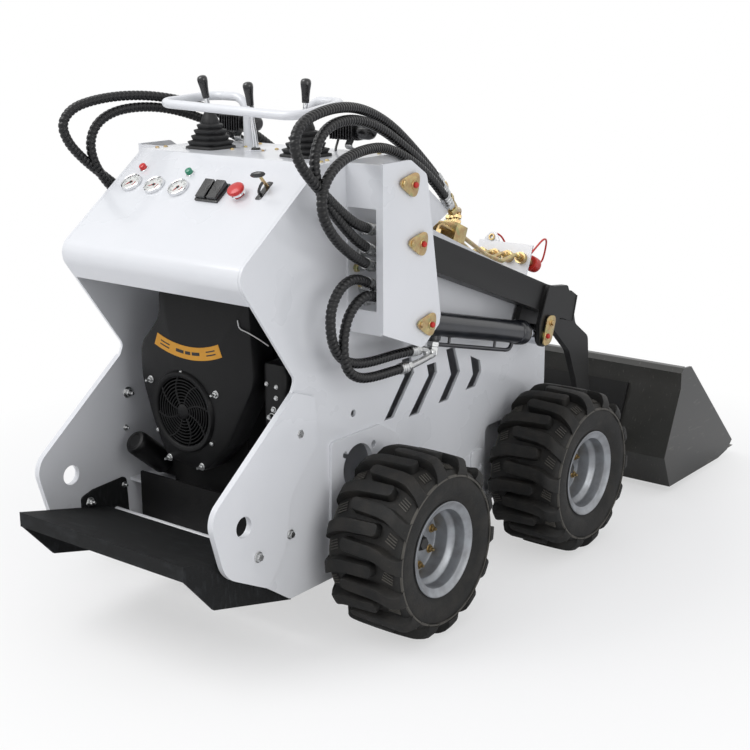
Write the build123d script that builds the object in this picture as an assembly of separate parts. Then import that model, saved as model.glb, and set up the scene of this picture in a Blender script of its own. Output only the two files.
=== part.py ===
from build123d import *
import math
import os

# A small ride-behind wheeled loader, in millimetres. X runs forward from the rear axle, Y to the left, Z up
# from the ground. The left side mirrors the right side, whose Y is negative. finished() moves each piece so
# that the origin is under the middle of the machine.

# Wheels
WHEELBASE = 704
TYRE_RADIUS = 228.5
CARCASS_RADIUS = 207
TYRE_HALF_WIDTH = 110
BEAD_RADIUS = 101.6
FLANGE_RADIUS = 118.5
FLANGE_HALF_WIDTH = 100
SHEET_RIM = 4
LUGS_PER_ROW = 16
LUG_OFFSET = 0.25
CARCASS_SIDES = 32
SHAFT_RADIUS = 20
MOTOR_RADIUS = 58
NUT_CIRCLE = 52
NUTS = 5

# Body
BODY_HALF = 295
PLATE = 8
SHEET = 4
INNER = BODY_HALF - PLATE
BODY_TO_TYRE = 40
TYRE_MIDDLE = BODY_HALF + BODY_TO_TYRE + TYRE_HALF_WIDTH
RAIL_OUT = INNER - 79
MOTOR_WALL = INNER - 17
DECK_Z = 1154
DECK_REAR = -147
DECK_FRONT = 130
LIP = (-440, 936)
LIP_END = (-391, 864)
LIP_RADIUS = 45
NOSE = (364, 985)
HOOD_TOP = (285, 950)
FRONT_X = 858
HOOD_END_Z = 702
FLOOR_Z = 133
REAR_CORNER = (-284, 133)

# Towers and the pins through them
TOWER_REAR = -58
PIN_RADIUS = 16
UPPER_PIN = (54, 1095)
ARM_PIVOT = (88, 950)
BASE_PIN = (124, 746)

# Arms, from the inside outwards: leg plate, box tube, outer gusset, and then the tower's wall
ARM_GAP = 7
LEG_PLATE = 20
ARM_TUBE = 56
GUSSET = 12
TOWER_GAP = 6
LEG_IN = BODY_HALF + ARM_GAP
TUBE_IN = LEG_IN + LEG_PLATE
TUBE_OUT = TUBE_IN + ARM_TUBE
GUSSET_OUT = TUBE_OUT + GUSSET
TOWER_IN = GUSSET_OUT + TOWER_GAP
TOWER_OUT = TOWER_IN + PLATE
ROD_PIN = (695, 604)
BUCKET_PIVOT = (1130, 150)
BEAM_REAR = 875
BEAM_FRONT = 935
BEAM_LOW = 600
BEAM_TOP = 680

# Cylinders
LIFT_Y = (TUBE_IN + TUBE_OUT) / 2
LIFT_BARREL = 31.5
LIFT_ROD = 18
LIFT_EYE = 28
EYE_HALF = 25
TILT_BASE = (960, 700)
TILT_EYE_AT = 120
TILT_EYE_ANGLE = 65
TILT_BARREL = 35
TILT_ROD = 16
TILT_EYE = 26

# Bucket
BUCKET_HALF = 520
BUCKET_HEEL = (1264, 22)
BUCKET_KNEE = (1218, 127)
BUCKET_TOP = (1308, 333)
BUCKET_TIP = (1755, 33)
BUCKET_SHEET = 8

# Platform
BRACKET = 7
STEP_HALF = INNER - BRACKET
STEP_REAR = (-615, 322)
STEP_FRONT = (-340, 256)

# Hoses and tubes
HOSE_RADIUS = 12
TUBE_RADIUS = 6
CLEAR = 0.3

ORIGIN_X = (BUCKET_TIP[0] + STEP_REAR[0]) / 2


def side_plate(points, inner, outer, radii=0.0):
    """A plate on the right-hand side, its outline in X and Z, between two distances from the middle."""
    plane = Plane(origin=(0, -inner, 0), x_dir=(1, 0, 0), z_dir=(0, -1, 0))
    if radii:
        line = FilletPolyline(*points, radius=radii, close=True)
    else:
        line = Polyline(*points, close=True)
    return extrude(plane * make_face(line), amount=outer - inner)


def rod(start, end, radius):
    """A round bar between two points."""
    start, end = Vector(start), Vector(end)
    bar = Cylinder(radius, (end - start).length, align=(Align.CENTER, Align.CENTER, Align.MIN))
    return Plane(start, z_dir=end - start) * bar


def cross_rod(at, inner, outer, radius):
    """A round bar along Y on the right-hand side, through a point given in X and Z."""
    return rod((at[0], -inner, at[1]), (at[0], -outer, at[1]), radius)


def block(x, y, z):
    """A box from its ranges along X, Y and Z."""
    box = Box(x[1] - x[0], y[1] - y[0], z[1] - z[0], align=(Align.MIN, Align.MIN, Align.MIN))
    return Pos(x[0], y[0], z[0]) * box


def bent_sheet(points, radii, thickness, half_width):
    """A sheet across the machine that follows a line in X and Z, its outer face on that line."""
    line = FilletPolyline(*points, radius=radii)
    inside = line.offset_2d(thickness, side=Side.RIGHT, closed=True)
    plane = Plane(origin=(0, half_width, 0), x_dir=(1, 0, 0), z_dir=(0, -1, 0))
    return extrude(plane * make_face(inside), amount=2 * half_width)


def pipe(points, radius, bend=None):
    """A round tube of straight runs and tangent arcs, each arc as large as its two runs allow."""
    points = [Vector(p) for p in points]
    radii = []
    for before, at, after in zip(points, points[1:], points[2:]):
        turn = math.radians((at - before).get_angle(after - at))
        run = min((at - before).length, (after - at).length)
        widest = 0.45 * run / math.tan(turn / 2)
        radii.append(min(bend, widest) if bend else widest)
    path = FilletPolyline(*points, radius=radii)
    start = Plane(points[0], z_dir=points[1] - points[0])
    return sweep(start * Circle(radius), path=path)


def both_sides(shape):
    """The shape and its mirror image on the left."""
    return [*shape.solids(), *mirror(shape, about=Plane.XZ).solids()]


def finished(node, *shapes):
    """Writes one piece, moved to the frame whose origin is under the machine's middle."""
    solids = []
    for shape in shapes:
        solids.extend(shape.solids())
    moved = [Pos(-ORIGIN_X, 0, 0) * s for s in solids]
    export_step(moved[0] if len(moved) == 1 else Compound(moved), f"parts/{node}.step")


def finished_pair(node, shape):
    """Writes a right-hand piece and its mirror image on the left."""
    finished(f"{node}_right", shape)
    finished(f"{node}_left", mirror(shape, about=Plane.XZ))


def along(start, angle, distance):
    """The point at a distance from another one, in X and Z, with the angle in degrees above +X."""
    turn = math.radians(angle)
    return (start[0] + distance * math.cos(turn), start[1] + distance * math.sin(turn))


def heading(start, end):
    """The angle in degrees above +X from one point to another, in X and Z."""
    return math.degrees(math.atan2(end[1] - start[1], end[0] - start[0]))


def span(start, end):
    """The distance between two points in X and Z."""
    return math.hypot(end[0] - start[0], end[1] - start[1])


TILT_EYE_PIN = along(BUCKET_PIVOT, TILT_EYE_ANGLE, TILT_EYE_AT)


def side_panel():
    """The tall side of the body: console, waist, rear lobe and nose in one plate, with its cut-outs."""
    outline = (
        (DECK_REAR, DECK_Z, 12), (*LIP, LIP_RADIUS), (-250, 668, 20), (-262, 642, 20), (-552, 415, 60),
        (-508, 262, 80), (-366, 190, 40), (*REAR_CORNER, 20), (FRONT_X, FLOOR_Z, 20),
        (FRONT_X, HOOD_END_Z, 6), (*HOOD_TOP, 4), (*NOSE, 4), (DECK_FRONT, DECK_Z, 6),
    )
    inner = BODY_HALF - PLATE
    panel = side_plate([p[:2] for p in outline], inner, BODY_HALF, [p[2] for p in outline])
    slots = (
        ((160, 631), (199, 631), (212, 586), (124, 487), (86, 487), (171, 586)),
        ((268, 594), (309, 594), (314, 565), (234, 472), (189, 472), (276, 565)),
        ((355, 618), (394, 618), (421, 545), (366, 478), (321, 478), (378, 545)),
        ((470, 577), (517, 555), (524, 523), (495, 486), (448, 486), (483, 523)),
    )
    for slot in slots:
        panel -= side_plate(slot, inner - 1, BODY_HALF + 1)
    arch = ((547, 160), (780, 160), (780, 357), (547, 357))
    panel -= side_plate(arch, inner - 1, BODY_HALF + 1, 20)
    for x, z, radius in ((-444, 367, 25), (-30, 400, 58), (-38, 537, 9), (31, 442, 9), (-80, 442, 9)):
        panel -= cross_rod((x, z), inner - 1, BODY_HALF + 1, radius)
    for pin in (UPPER_PIN, ARM_PIVOT, BASE_PIN):
        panel -= cross_rod(pin, inner - 1, BODY_HALF + 1, PIN_RADIUS)
    return panel


def lobe_plate():
    """The second plate on the rear lobe, which doubles the side there."""
    outline = (
        (-190, 616, 10), (-262, 642, 10), (-552, 415, 60), (-508, 262, 80), (-366, 190, 20),
        (-307, 261, 30), (-280, 396, 60), (-179, 502, 30),
    )
    plate = side_plate([p[:2] for p in outline], BODY_HALF, BODY_HALF + PLATE, [p[2] for p in outline])
    return plate - cross_rod((-444, 367), BODY_HALF - 1, BODY_HALF + PLATE + 1, 25)


def wheel_bay_plate():
    """The raised plate that carries the rear wheel motor."""
    outline = ((-140, 150), (140, 150), (140, 440), (60, 486), (-132, 486))
    plate = side_plate(outline, BODY_HALF, BODY_HALF + PLATE, 12)
    plate -= cross_rod((0, TYRE_RADIUS), BODY_HALF - 1, BODY_HALF + PLATE + 1, MOTOR_RADIUS)
    plate -= cross_rod((-30, 400), BODY_HALF - 1, BODY_HALF + PLATE + 1, 58)
    for x, z in ((31, 442), (-80, 442)):
        plate -= cross_rod((x, z), BODY_HALF - 1, BODY_HALF + PLATE + 1, 9)
    return plate


def body_tub():
    """The belly, front and engine floor between the two sides, with the walls that carry the front motors."""
    half = BODY_HALF - PLATE
    tub = block((REAR_CORNER[0] + 30, FRONT_X - PLATE), (-half, half), (FLOOR_Z, FLOOR_Z + PLATE))
    tub += block((FRONT_X - PLATE, FRONT_X), (-half, half), (FLOOR_Z, HOOD_END_Z - SHEET - 2))
    tub += block((-250, 500), (-half, half), (300, 308))
    for side in (-1, 1):
        rail = sorted((side * (RAIL_OUT - PLATE), side * RAIL_OUT))
        tub += block((-250, 500), rail, (FLOOR_Z + PLATE, 300))
        wall = sorted((side * (MOTOR_WALL - PLATE), side * MOTOR_WALL))
        shelf = sorted((side * (MOTOR_WALL - PLATE), side * half))
        tub += block((530, FRONT_X - PLATE), wall, (FLOOR_Z + PLATE, 400))
        tub += block((530, FRONT_X - PLATE), shelf, (392, 400))
        tub += block((530, 538), shelf, (FLOOR_Z + PLATE, 400))
    return tub


def wheel_motors():
    """The hydraulic motor and shaft of each wheel."""
    motors = []
    wheel_disc = TYRE_MIDDLE - 50
    for x, seat in ((0, BODY_HALF), (WHEELBASE, MOTOR_WALL)):
        at = (x, TYRE_RADIUS)
        motor = cross_rod(at, seat, wheel_disc - 6, MOTOR_RADIUS)
        motor += cross_rod(at, wheel_disc - 6, wheel_disc + 18, SHAFT_RADIUS)
        motors += both_sides(motor)
    return motors


def tower():
    """A bent plate beside the body: a rear wall with a notch for hoses, and the outer wall that holds the pins."""
    outline = (
        (TOWER_REAR, 753, 0), (TOWER_REAR, 1153, 0), (50, 1153, 20), (113, 1114, 20), (119, 1089, 10),
        (174, 761, 12), (169, 739, 12), (100, 691, 25),
    )
    radii = [max(p[2], 1) for p in outline]
    wall = side_plate([p[:2] for p in outline], TOWER_IN, TOWER_OUT, radii)
    rear = block((TOWER_REAR, TOWER_REAR + PLATE), (-TOWER_IN, -BODY_HALF), (749, 1150))
    rear -= block((TOWER_REAR - 1, TOWER_REAR + PLATE + 1), (-TOWER_IN + 12, -BODY_HALF - 4), (806, 1048))
    tower_plate = wall + rear
    for pin in (UPPER_PIN, ARM_PIVOT, BASE_PIN):
        tower_plate -= cross_rod(pin, TOWER_IN - 1, TOWER_OUT + 1, PIN_RADIUS)
    return tower_plate


def tower_pins():
    """The pins from the body's side through each tower."""
    pins = []
    for pin in (UPPER_PIN, ARM_PIVOT, BASE_PIN):
        pins += both_sides(cross_rod(pin, BODY_HALF - PLATE - 8, TOWER_OUT + 4, PIN_RADIUS))
    return pins


def keeper(at, points, y):
    """A flat keeper plate over a pin's end, bolted beside it."""
    return side_plate([(at[0] + dx, at[1] + dz) for dx, dz in points], y, y + 5, 12)


def pin_keepers():
    """The keeper plates on the towers."""
    triangle = ((-66, 12), (24, 30), (8, -34))
    keepers = []
    for pin in (UPPER_PIN, ARM_PIVOT, BASE_PIN):
        keepers += both_sides(keeper(pin, triangle, TOWER_OUT + 4))
    return keepers


def control_panel():
    """The deck, the sloping instrument panel and its rounded lower lip, bent from one sheet."""
    line = ((DECK_FRONT, DECK_Z), (DECK_REAR, DECK_Z), LIP, LIP_END)
    half = BODY_HALF - PLATE
    flat = FilletPolyline(*line, radius=(12, LIP_RADIUS))
    plane = Plane(origin=(0, half, 0), x_dir=(1, 0, 0), z_dir=(0, -1, 0))
    inside = FilletPolyline(
        (DECK_FRONT, DECK_Z - SHEET), (DECK_REAR + 1.3, DECK_Z - SHEET), (LIP[0] + 4.9, LIP[1] - 0.2),
        (LIP_END[0] + 3.3, LIP_END[1] + 2.3), radius=(8, LIP_RADIUS - SHEET),
    )
    loop = [*flat.edges(), *inside.edges(), Line(flat @ 0, inside @ 0), Line(flat @ 1, inside @ 1)]
    return extrude(plane * make_face(loop), amount=2 * half)


def hood():
    """The visor from the deck to the nose and back, and the hood that falls to the front."""
    line = ((DECK_FRONT, DECK_Z), NOSE, HOOD_TOP, (FRONT_X, HOOD_END_Z))
    half = BODY_HALF - PLATE
    plane = Plane(origin=(0, half, 0), x_dir=(1, 0, 0), z_dir=(0, -1, 0))
    low = [
        (DECK_FRONT, DECK_Z - SHEET - 1), (NOSE[0] - 10, NOSE[1] + 0.5), (HOOD_TOP[0] - 8.6, HOOD_TOP[1] + 0.3),
        (HOOD_TOP[0] - 2, HOOD_TOP[1] - SHEET + 0.6), (FRONT_X, HOOD_END_Z - SHEET - 0.5),
    ]
    return extrude(plane * make_face(Polyline(*line, *reversed(low), close=True)), amount=2 * half)


def platform():
    """The foot platform: a sloping tread with a rear apron and two wedge sides."""
    (rear_x, rear_z), (front_x, front_z) = STEP_REAR, STEP_FRONT
    tread = side_plate(
        ((rear_x, rear_z), (front_x, front_z), (front_x, front_z - 6), (rear_x + 6, rear_z - 7),
         (rear_x + 6, rear_z - 37), (rear_x, rear_z - 37)), -STEP_HALF, STEP_HALF,
    )
    wedge_points = (
        (rear_x + 2, rear_z - 3), (front_x - 2, front_z - 3), (-300, 248), (-265, 200), (-265, 121),
        (-525, 187), (rear_x + 2, rear_z - 37),
    )
    wedge = side_plate(wedge_points, STEP_HALF - 8, STEP_HALF)
    wedge -= cross_rod((-316, 240), STEP_HALF - 9, STEP_HALF + 1, 9)
    return tread + wedge + mirror(wedge, about=Plane.XZ)


def platform_brackets():
    """The curved brackets that bolt the platform inside the body's rear lobes."""
    points = ((-420, 262), (-420, 300), (-380, 312), (-270, 318), (-262, 150), (-310, 150), (-330, 240))
    bracket = side_plate(points, STEP_HALF, BODY_HALF - PLATE, 12)
    bracket -= cross_rod((-316, 240), STEP_HALF - 1, BODY_HALF, 9)
    return both_sides(bracket)


def cross_tube():
    """The round bar across the body in front of the platform."""
    return rod((-316, -(BODY_HALF - PLATE), 240), (-316, BODY_HALF - PLATE, 240), 9)


def engine():
    """The engine's crankcase with its two finned cylinders in a V."""
    case = block((-200, 60), (-90, 170), (308, 640)) + block((-200, -140), (170, 236), (322, 378))
    for lean in (-45, 45):
        frame = Plane(origin=(-70, 40, 560), x_dir=(1, 0, 0), z_dir=(0, math.sin(math.radians(lean)), 0.7071))
        case += frame * Box(120, 100, 200, align=(Align.CENTER, Align.CENTER, Align.MIN))
        for step in range(6):
            fin = Pos(0, 0, 80 + 18 * step) * Box(150, 130, 6)
            case += frame * fin
    return case


def engine_blower():
    """The blower housing at the back of the engine, with the round guard over its fan."""
    outline = (
        (200, 470), (200, 600), (150, 680), (-60, 680), (-115, 600), (-115, 470), (-40, 400), (120, 400),
    )
    face = Plane(origin=(-200, 0, 0), x_dir=(0, 1, 0), z_dir=(1, 0, 0))
    housing = extrude(face * make_face(FilletPolyline(*outline, radius=30, close=True)), amount=-80)
    ring_at = Pos(-280, 40, 550) * Rot(0, 90, 0)
    for outer in (88, 68, 48, 28):
        ring = Cylinder(outer, 12) - Cylinder(outer - 12, 14)
        housing -= ring_at * ring
    return housing


def oil_filter():
    """The round filter low on the engine's left."""
    return rod((-290, 208, 350), (-200, 208, 350), 38)


def handle_bar():
    """The white grab bar round the levers, from one deck post to the other."""
    low = DECK_Z
    points = (
        (36, 100, low), (36, 100, 1278), (36, 224, 1278), (-150, 224, 1270), (-150, -224, 1258),
        (36, -224, 1278), (36, -100, 1278), (36, -100, low),
    )
    return pipe(points, 11, 45)


def lever_boot(x, y):
    """A square bellows boot that narrows upwards in pleats."""
    rows = (
        (0, 100), (5, 100), (8, 88), (16, 94), (22, 76), (30, 82), (36, 66), (44, 72), (50, 56),
        (57, 60), (63, 44), (93, 26),
    )
    boot = None
    for (low, wide), (high, narrow) in zip(rows, rows[1:]):
        bottom = Pos(x, y, DECK_Z + low) * Rectangle(wide, wide)
        top = Pos(x, y, DECK_Z + high) * Rectangle(narrow, narrow)
        layer = loft([bottom.face(), top.face()], ruled=True)
        boot = layer if boot is None else boot + layer
    return boot


def lever(base, top, rod_radius, grip_length):
    """A lever: a thin rod and a grip that widens towards its rounded top."""
    axis = Vector(top) - Vector(base)
    stem_end = Vector(base) + axis * ((axis.length - grip_length) / axis.length)
    stem = rod(base, stem_end, rod_radius)
    profile = Polyline((0, 0), (9, 0), (12.5, grip_length - 12), (9, grip_length - 2), (0, grip_length), close=True)
    grip = revolve(Plane.XZ * make_face(profile), axis=Axis.Z)
    return stem + Plane(stem_end, z_dir=axis) * grip


def control_levers():
    """The two drive levers on their boots, and the loader lever between them."""
    levers = []
    for side in (-1, 1):
        y = side * 158
        levers.append(lever((-40, y, DECK_Z + 93), (-40, y, 1336), 6, 56))
    base = Pos(-24, 18, DECK_Z + 2.5) * Box(60, 40, 5)
    levers.append(base + lever((-24, 18, DECK_Z + 5), (-44, 18, 1316), 5, 52))
    return levers


def work_lamps():
    """Two finned lamps that look forward from the deck."""
    lamps = []
    for side in (-1, 1):
        y = side * 195
        lamp = block((95, 135), (y - 62, y + 62), (1181, 1231))
        for step in range(9):
            fin_y = y - 56 + 14 * step
            lamp += block((72, 95), (fin_y - 2, fin_y + 2), (1184, 1228))
        lamps.append(lamp)
    return lamps


def lamp_brackets():
    """The bent strip under each lamp."""
    brackets = []
    for side in (-1, 1):
        y = side * 195
        foot = block((80, 125), (y - 20, y + 20), (DECK_Z, DECK_Z + 3))
        brackets.append(foot + block((102, 122), (y - 20, y + 20), (DECK_Z + 3, 1181)))
    return brackets


PANEL_SLOPE = heading(LIP, (DECK_REAR, DECK_Z))


def on_panel(down, y):
    """A plane on the instrument panel: how far down from the deck's edge, and the Y."""
    x, z = along((DECK_REAR, DECK_Z), PANEL_SLOPE + 180, down)
    turn = math.radians(PANEL_SLOPE)
    return Plane(origin=(x, y, z), x_dir=(0, -1, 0), z_dir=(-math.sin(turn), 0, math.cos(turn)))


def gauges():
    """Three round gauges with raised bezels."""
    made = []
    for y in (229, 149, 67):
        ring = Cylinder(27, 9, align=(Align.CENTER, Align.CENTER, Align.MIN))
        ring -= Pos(0, 0, 5) * Cylinder(22, 6, align=(Align.CENTER, Align.CENTER, Align.MIN))
        made.append(on_panel(123, y) * ring)
    return made


def panel_switches():
    """Two signal lamps, the rocker switches, the stop button and the choke lever."""
    up = (Align.CENTER, Align.CENTER, Align.MIN)
    made = [on_panel(70, y) * Cylinder(9, 14, align=up) for y in (229, 69)]
    made.append(on_panel(124, -48) * Box(72, 62, 8, align=up))
    button = Cylinder(14, 14, align=up) + Pos(0, 0, 14) * Cylinder(21, 12, align=up)
    made.append(on_panel(122, -130) * button)
    choke = Box(12, 3, 40, align=up) + Pos(0, 0, 40) * Box(36, 12, 10, align=up)
    made.append(on_panel(92, -186) * choke)
    return made


def arm():
    """The lift arm: a box tube from the pivot to the elbow, and the outer gusset round the rod's pin."""
    tube = side_plate(
        ((42, 1009), (720, 745), (838, 708), (869, 690), (847, 617), (696, 673), (46, 916)),
        TUBE_IN, TUBE_OUT, (38, 1, 1, 8, 8, 1, 38),
    )
    gusset = side_plate(
        ((714, 743), (838, 708), (869, 690), (847, 617), (778, 641), (738, 604), (725, 573), (668, 573), (668, 640)),
        TUBE_OUT, GUSSET_OUT, (1, 1, 8, 8, 8, 8, 24, 24, 8),
    )
    whole = tube + gusset
    whole -= cross_rod(ARM_PIVOT, TUBE_IN - 1, TUBE_OUT + 1, PIN_RADIUS + CLEAR)
    return whole - cross_rod(ROD_PIN, TUBE_OUT - 1, GUSSET_OUT + 1, PIN_RADIUS)


def leg():
    """The leg plate inside each arm, from the elbow down to the bucket's pivot."""
    outline = (
        (668, 573, 24), (668, 640, 8), (714, 743, 4), (838, 712, 4), (935, 700, 14), (970, 630, 30),
        (985, 576, 30), (1064, 523, 30), (1078, 384, 40), (1100, 290, 60), (1166, 165, 30), (1152, 112, 24),
        (1104, 112, 24), (1060, 200, 40), (996, 402, 60), (952, 498, 60), (847, 590, 30), (778, 620, 20),
        (725, 573, 24),
    )
    plate = side_plate([p[:2] for p in outline], LEG_IN, TUBE_IN, [p[2] for p in outline])
    plate -= cross_rod(ROD_PIN, LEG_IN - 1, TUBE_IN + 1, PIN_RADIUS)
    return plate - cross_rod(BUCKET_PIVOT, LEG_IN - 1, TUBE_IN + 1, PIN_RADIUS + CLEAR)


def cross_beam():
    """The beam between the legs, with the two lugs for the tilt cylinder."""
    beam = side_plate(
        ((BEAM_REAR, BEAM_LOW), (BEAM_FRONT, BEAM_LOW), (BEAM_FRONT, BEAM_TOP), (BEAM_REAR, BEAM_TOP)),
        -LEG_IN, LEG_IN, 8,
    )
    x, z = TILT_BASE
    lug_points = ((x - 80, z - 50), (x - 80, z), (x - 20, z + 27), (x + 26, z + 20), (x + 28, z - 12), (x, z - 28))
    lug = side_plate(lug_points, EYE_HALF + 3, EYE_HALF + 15, (2, 10, 14, 14, 14, 6))
    lug -= cross_rod(TILT_BASE, EYE_HALF, EYE_HALF + 16, PIN_RADIUS)
    return beam + lug + mirror(lug, about=Plane.XZ)


def arm_pins():
    """The pins on the arms: short ones beside each rod's eye, and the tilt cylinder's base pin."""
    pins = both_sides(cross_rod(ROD_PIN, TUBE_OUT - 2, GUSSET_OUT + 4, PIN_RADIUS))
    pins += both_sides(cross_rod(ROD_PIN, LEG_IN - 4, TUBE_IN + 2, PIN_RADIUS))
    pins += both_sides(keeper(ROD_PIN, ((-20, -22), (20, -22), (45, 48), (8, 54)), GUSSET_OUT + 4))
    pins.append(rod((TILT_BASE[0], -44, TILT_BASE[1]), (TILT_BASE[0], 44, TILT_BASE[1]), PIN_RADIUS))
    return pins


def cylinder(base, pin, y, eye, half, shell, stem, start, end, rod_start):
    """A hydraulic cylinder's barrel and rod at rest, from the base pin to the rod's pin."""
    angle = heading(base, pin)
    length = span(base, pin)

    def at(distance):
        x, z = along(base, angle, distance)
        return (x, -y, z)

    barrel = rod(at(start), at(end), shell)
    barrel += rod(at(end - 24), at(end), shell + 3)
    barrel += cross_rod(base, y - half, y + half, eye)
    barrel += rod(at(0), at(start + 2), eye - 4)
    barrel -= rod(at(rod_start - 60), at(end + 1), stem + CLEAR)
    barrel -= cross_rod(base, y - half - 1, y + half + 1, PIN_RADIUS + CLEAR)
    stick = rod(at(rod_start), at(length - eye + 4), stem)
    stick += cross_rod(pin, y - half, y + half, eye)
    stick -= cross_rod(pin, y - half - 1, y + half + 1, PIN_RADIUS - 4)
    return barrel, stick


def lift_port(shape):
    """Adds the hose port under the lift barrel's base end."""
    angle = heading(BASE_PIN, ROD_PIN)
    x, z = along(BASE_PIN, angle, 110)
    low_x, low_z = along((x, z), angle - 90, 58)
    shape += rod((x, -LIFT_Y, z), (low_x, -LIFT_Y, low_z), 14)
    core = along(BASE_PIN, angle, 40)
    end = along(BASE_PIN, angle, 180)
    return shape - rod((core[0], -LIFT_Y, core[1]), (end[0], -LIFT_Y, end[1]), LIFT_ROD + CLEAR)


BACK_ANGLE = heading(BUCKET_KNEE, BUCKET_TOP)


def behind_back(up, out):
    """A point given by how far up the bucket's back from its knee, and how far behind it."""
    return along(along(BUCKET_KNEE, BACK_ANGLE, up), BACK_ANGLE + 90, out)


def coupling_plate():
    """The plate that takes the bucket, with its ears for the arms and the tilt rod."""
    plate = side_plate([behind_back(*p) for p in ((6, 0), (214, 0), (214, 14), (6, 14))], -345, 345)
    window = side_plate([behind_back(*p) for p in ((60, -1), (160, -1), (160, 15), (60, 15))], 80, 240)
    plate = plate - window - mirror(window, about=Plane.XZ)
    ear_points = [behind_back(*p) for p in ((8, 13), (80, 13), (22, 120), (-40, 124), (-46, 66))]
    for inner, outer in ((LEG_IN - 17, LEG_IN - 3), (TUBE_IN + 3, TUBE_IN + 17)):
        ear = side_plate(ear_points, inner, outer, (2, 2, 26, 26, 20))
        ear -= cross_rod(BUCKET_PIVOT, inner - 1, outer + 1, PIN_RADIUS)
        plate = plate + ear + mirror(ear, about=Plane.XZ)
    eye_points = [behind_back(*p) for p in ((96, 13), (176, 13), (166, 114), (106, 114))]
    ear = side_plate(eye_points, EYE_HALF + 3, EYE_HALF + 15, (2, 2, 24, 24))
    ear -= cross_rod(TILT_EYE_PIN, EYE_HALF, EYE_HALF + 16, PIN_RADIUS - 2)
    return plate + ear + mirror(ear, about=Plane.XZ)


def coupling_pins():
    """The bucket's pivot pins and the stub pins beside the tilt rod's eye."""
    pins = both_sides(cross_rod(BUCKET_PIVOT, LEG_IN - 20, TUBE_IN + 20, PIN_RADIUS))
    pins += both_sides(cross_rod(TILT_EYE_PIN, EYE_HALF + 1, EYE_HALF + 20, PIN_RADIUS - 2))
    return pins


def bucket():
    """The bucket: bent back and floor, two side plates and the bar along its top."""
    t = BUCKET_SHEET
    heel, knee, top, tip = BUCKET_HEEL, BUCKET_KNEE, BUCKET_TOP, BUCKET_TIP
    floor_end = 1620
    side = side_plate(
        (heel, knee, top, (1307, 383), (1323, 396), (1377, 391), (tip[0] - 30, tip[1] + 28), (1690, 34),
         (floor_end, heel[1])), BUCKET_HALF - t, BUCKET_HALF,
    )
    shell = side_plate(
        (heel, knee, top, (1307, 383), (1323, 396), (1345, 396), (1345, 388), (1327, 386), (1316, 378),
         (1317, 331), (knee[0] + 9, knee[1] + 1), (heel[0] + 6, heel[1] + t), (floor_end, heel[1] + t),
         (floor_end, heel[1])), -(BUCKET_HALF - t), BUCKET_HALF - t,
    )
    bar = side_plate(((1317, 345), (1330, 352), (1345, 396), (1345, 388), (1327, 386), (1316, 378)), -512, 512)
    return shell + bar + side + mirror(side, about=Plane.XZ)


def bucket_edge():
    """The thick cutting edge on the bucket's floor."""
    t = BUCKET_SHEET
    low = BUCKET_HEEL[1] + t
    half = BUCKET_HALF - t
    return side_plate(((1580, low), (1700, low), (BUCKET_TIP[0], low + 2), (1715, low + 16), (1580, low + 16)),
                      -half, half)


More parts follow.
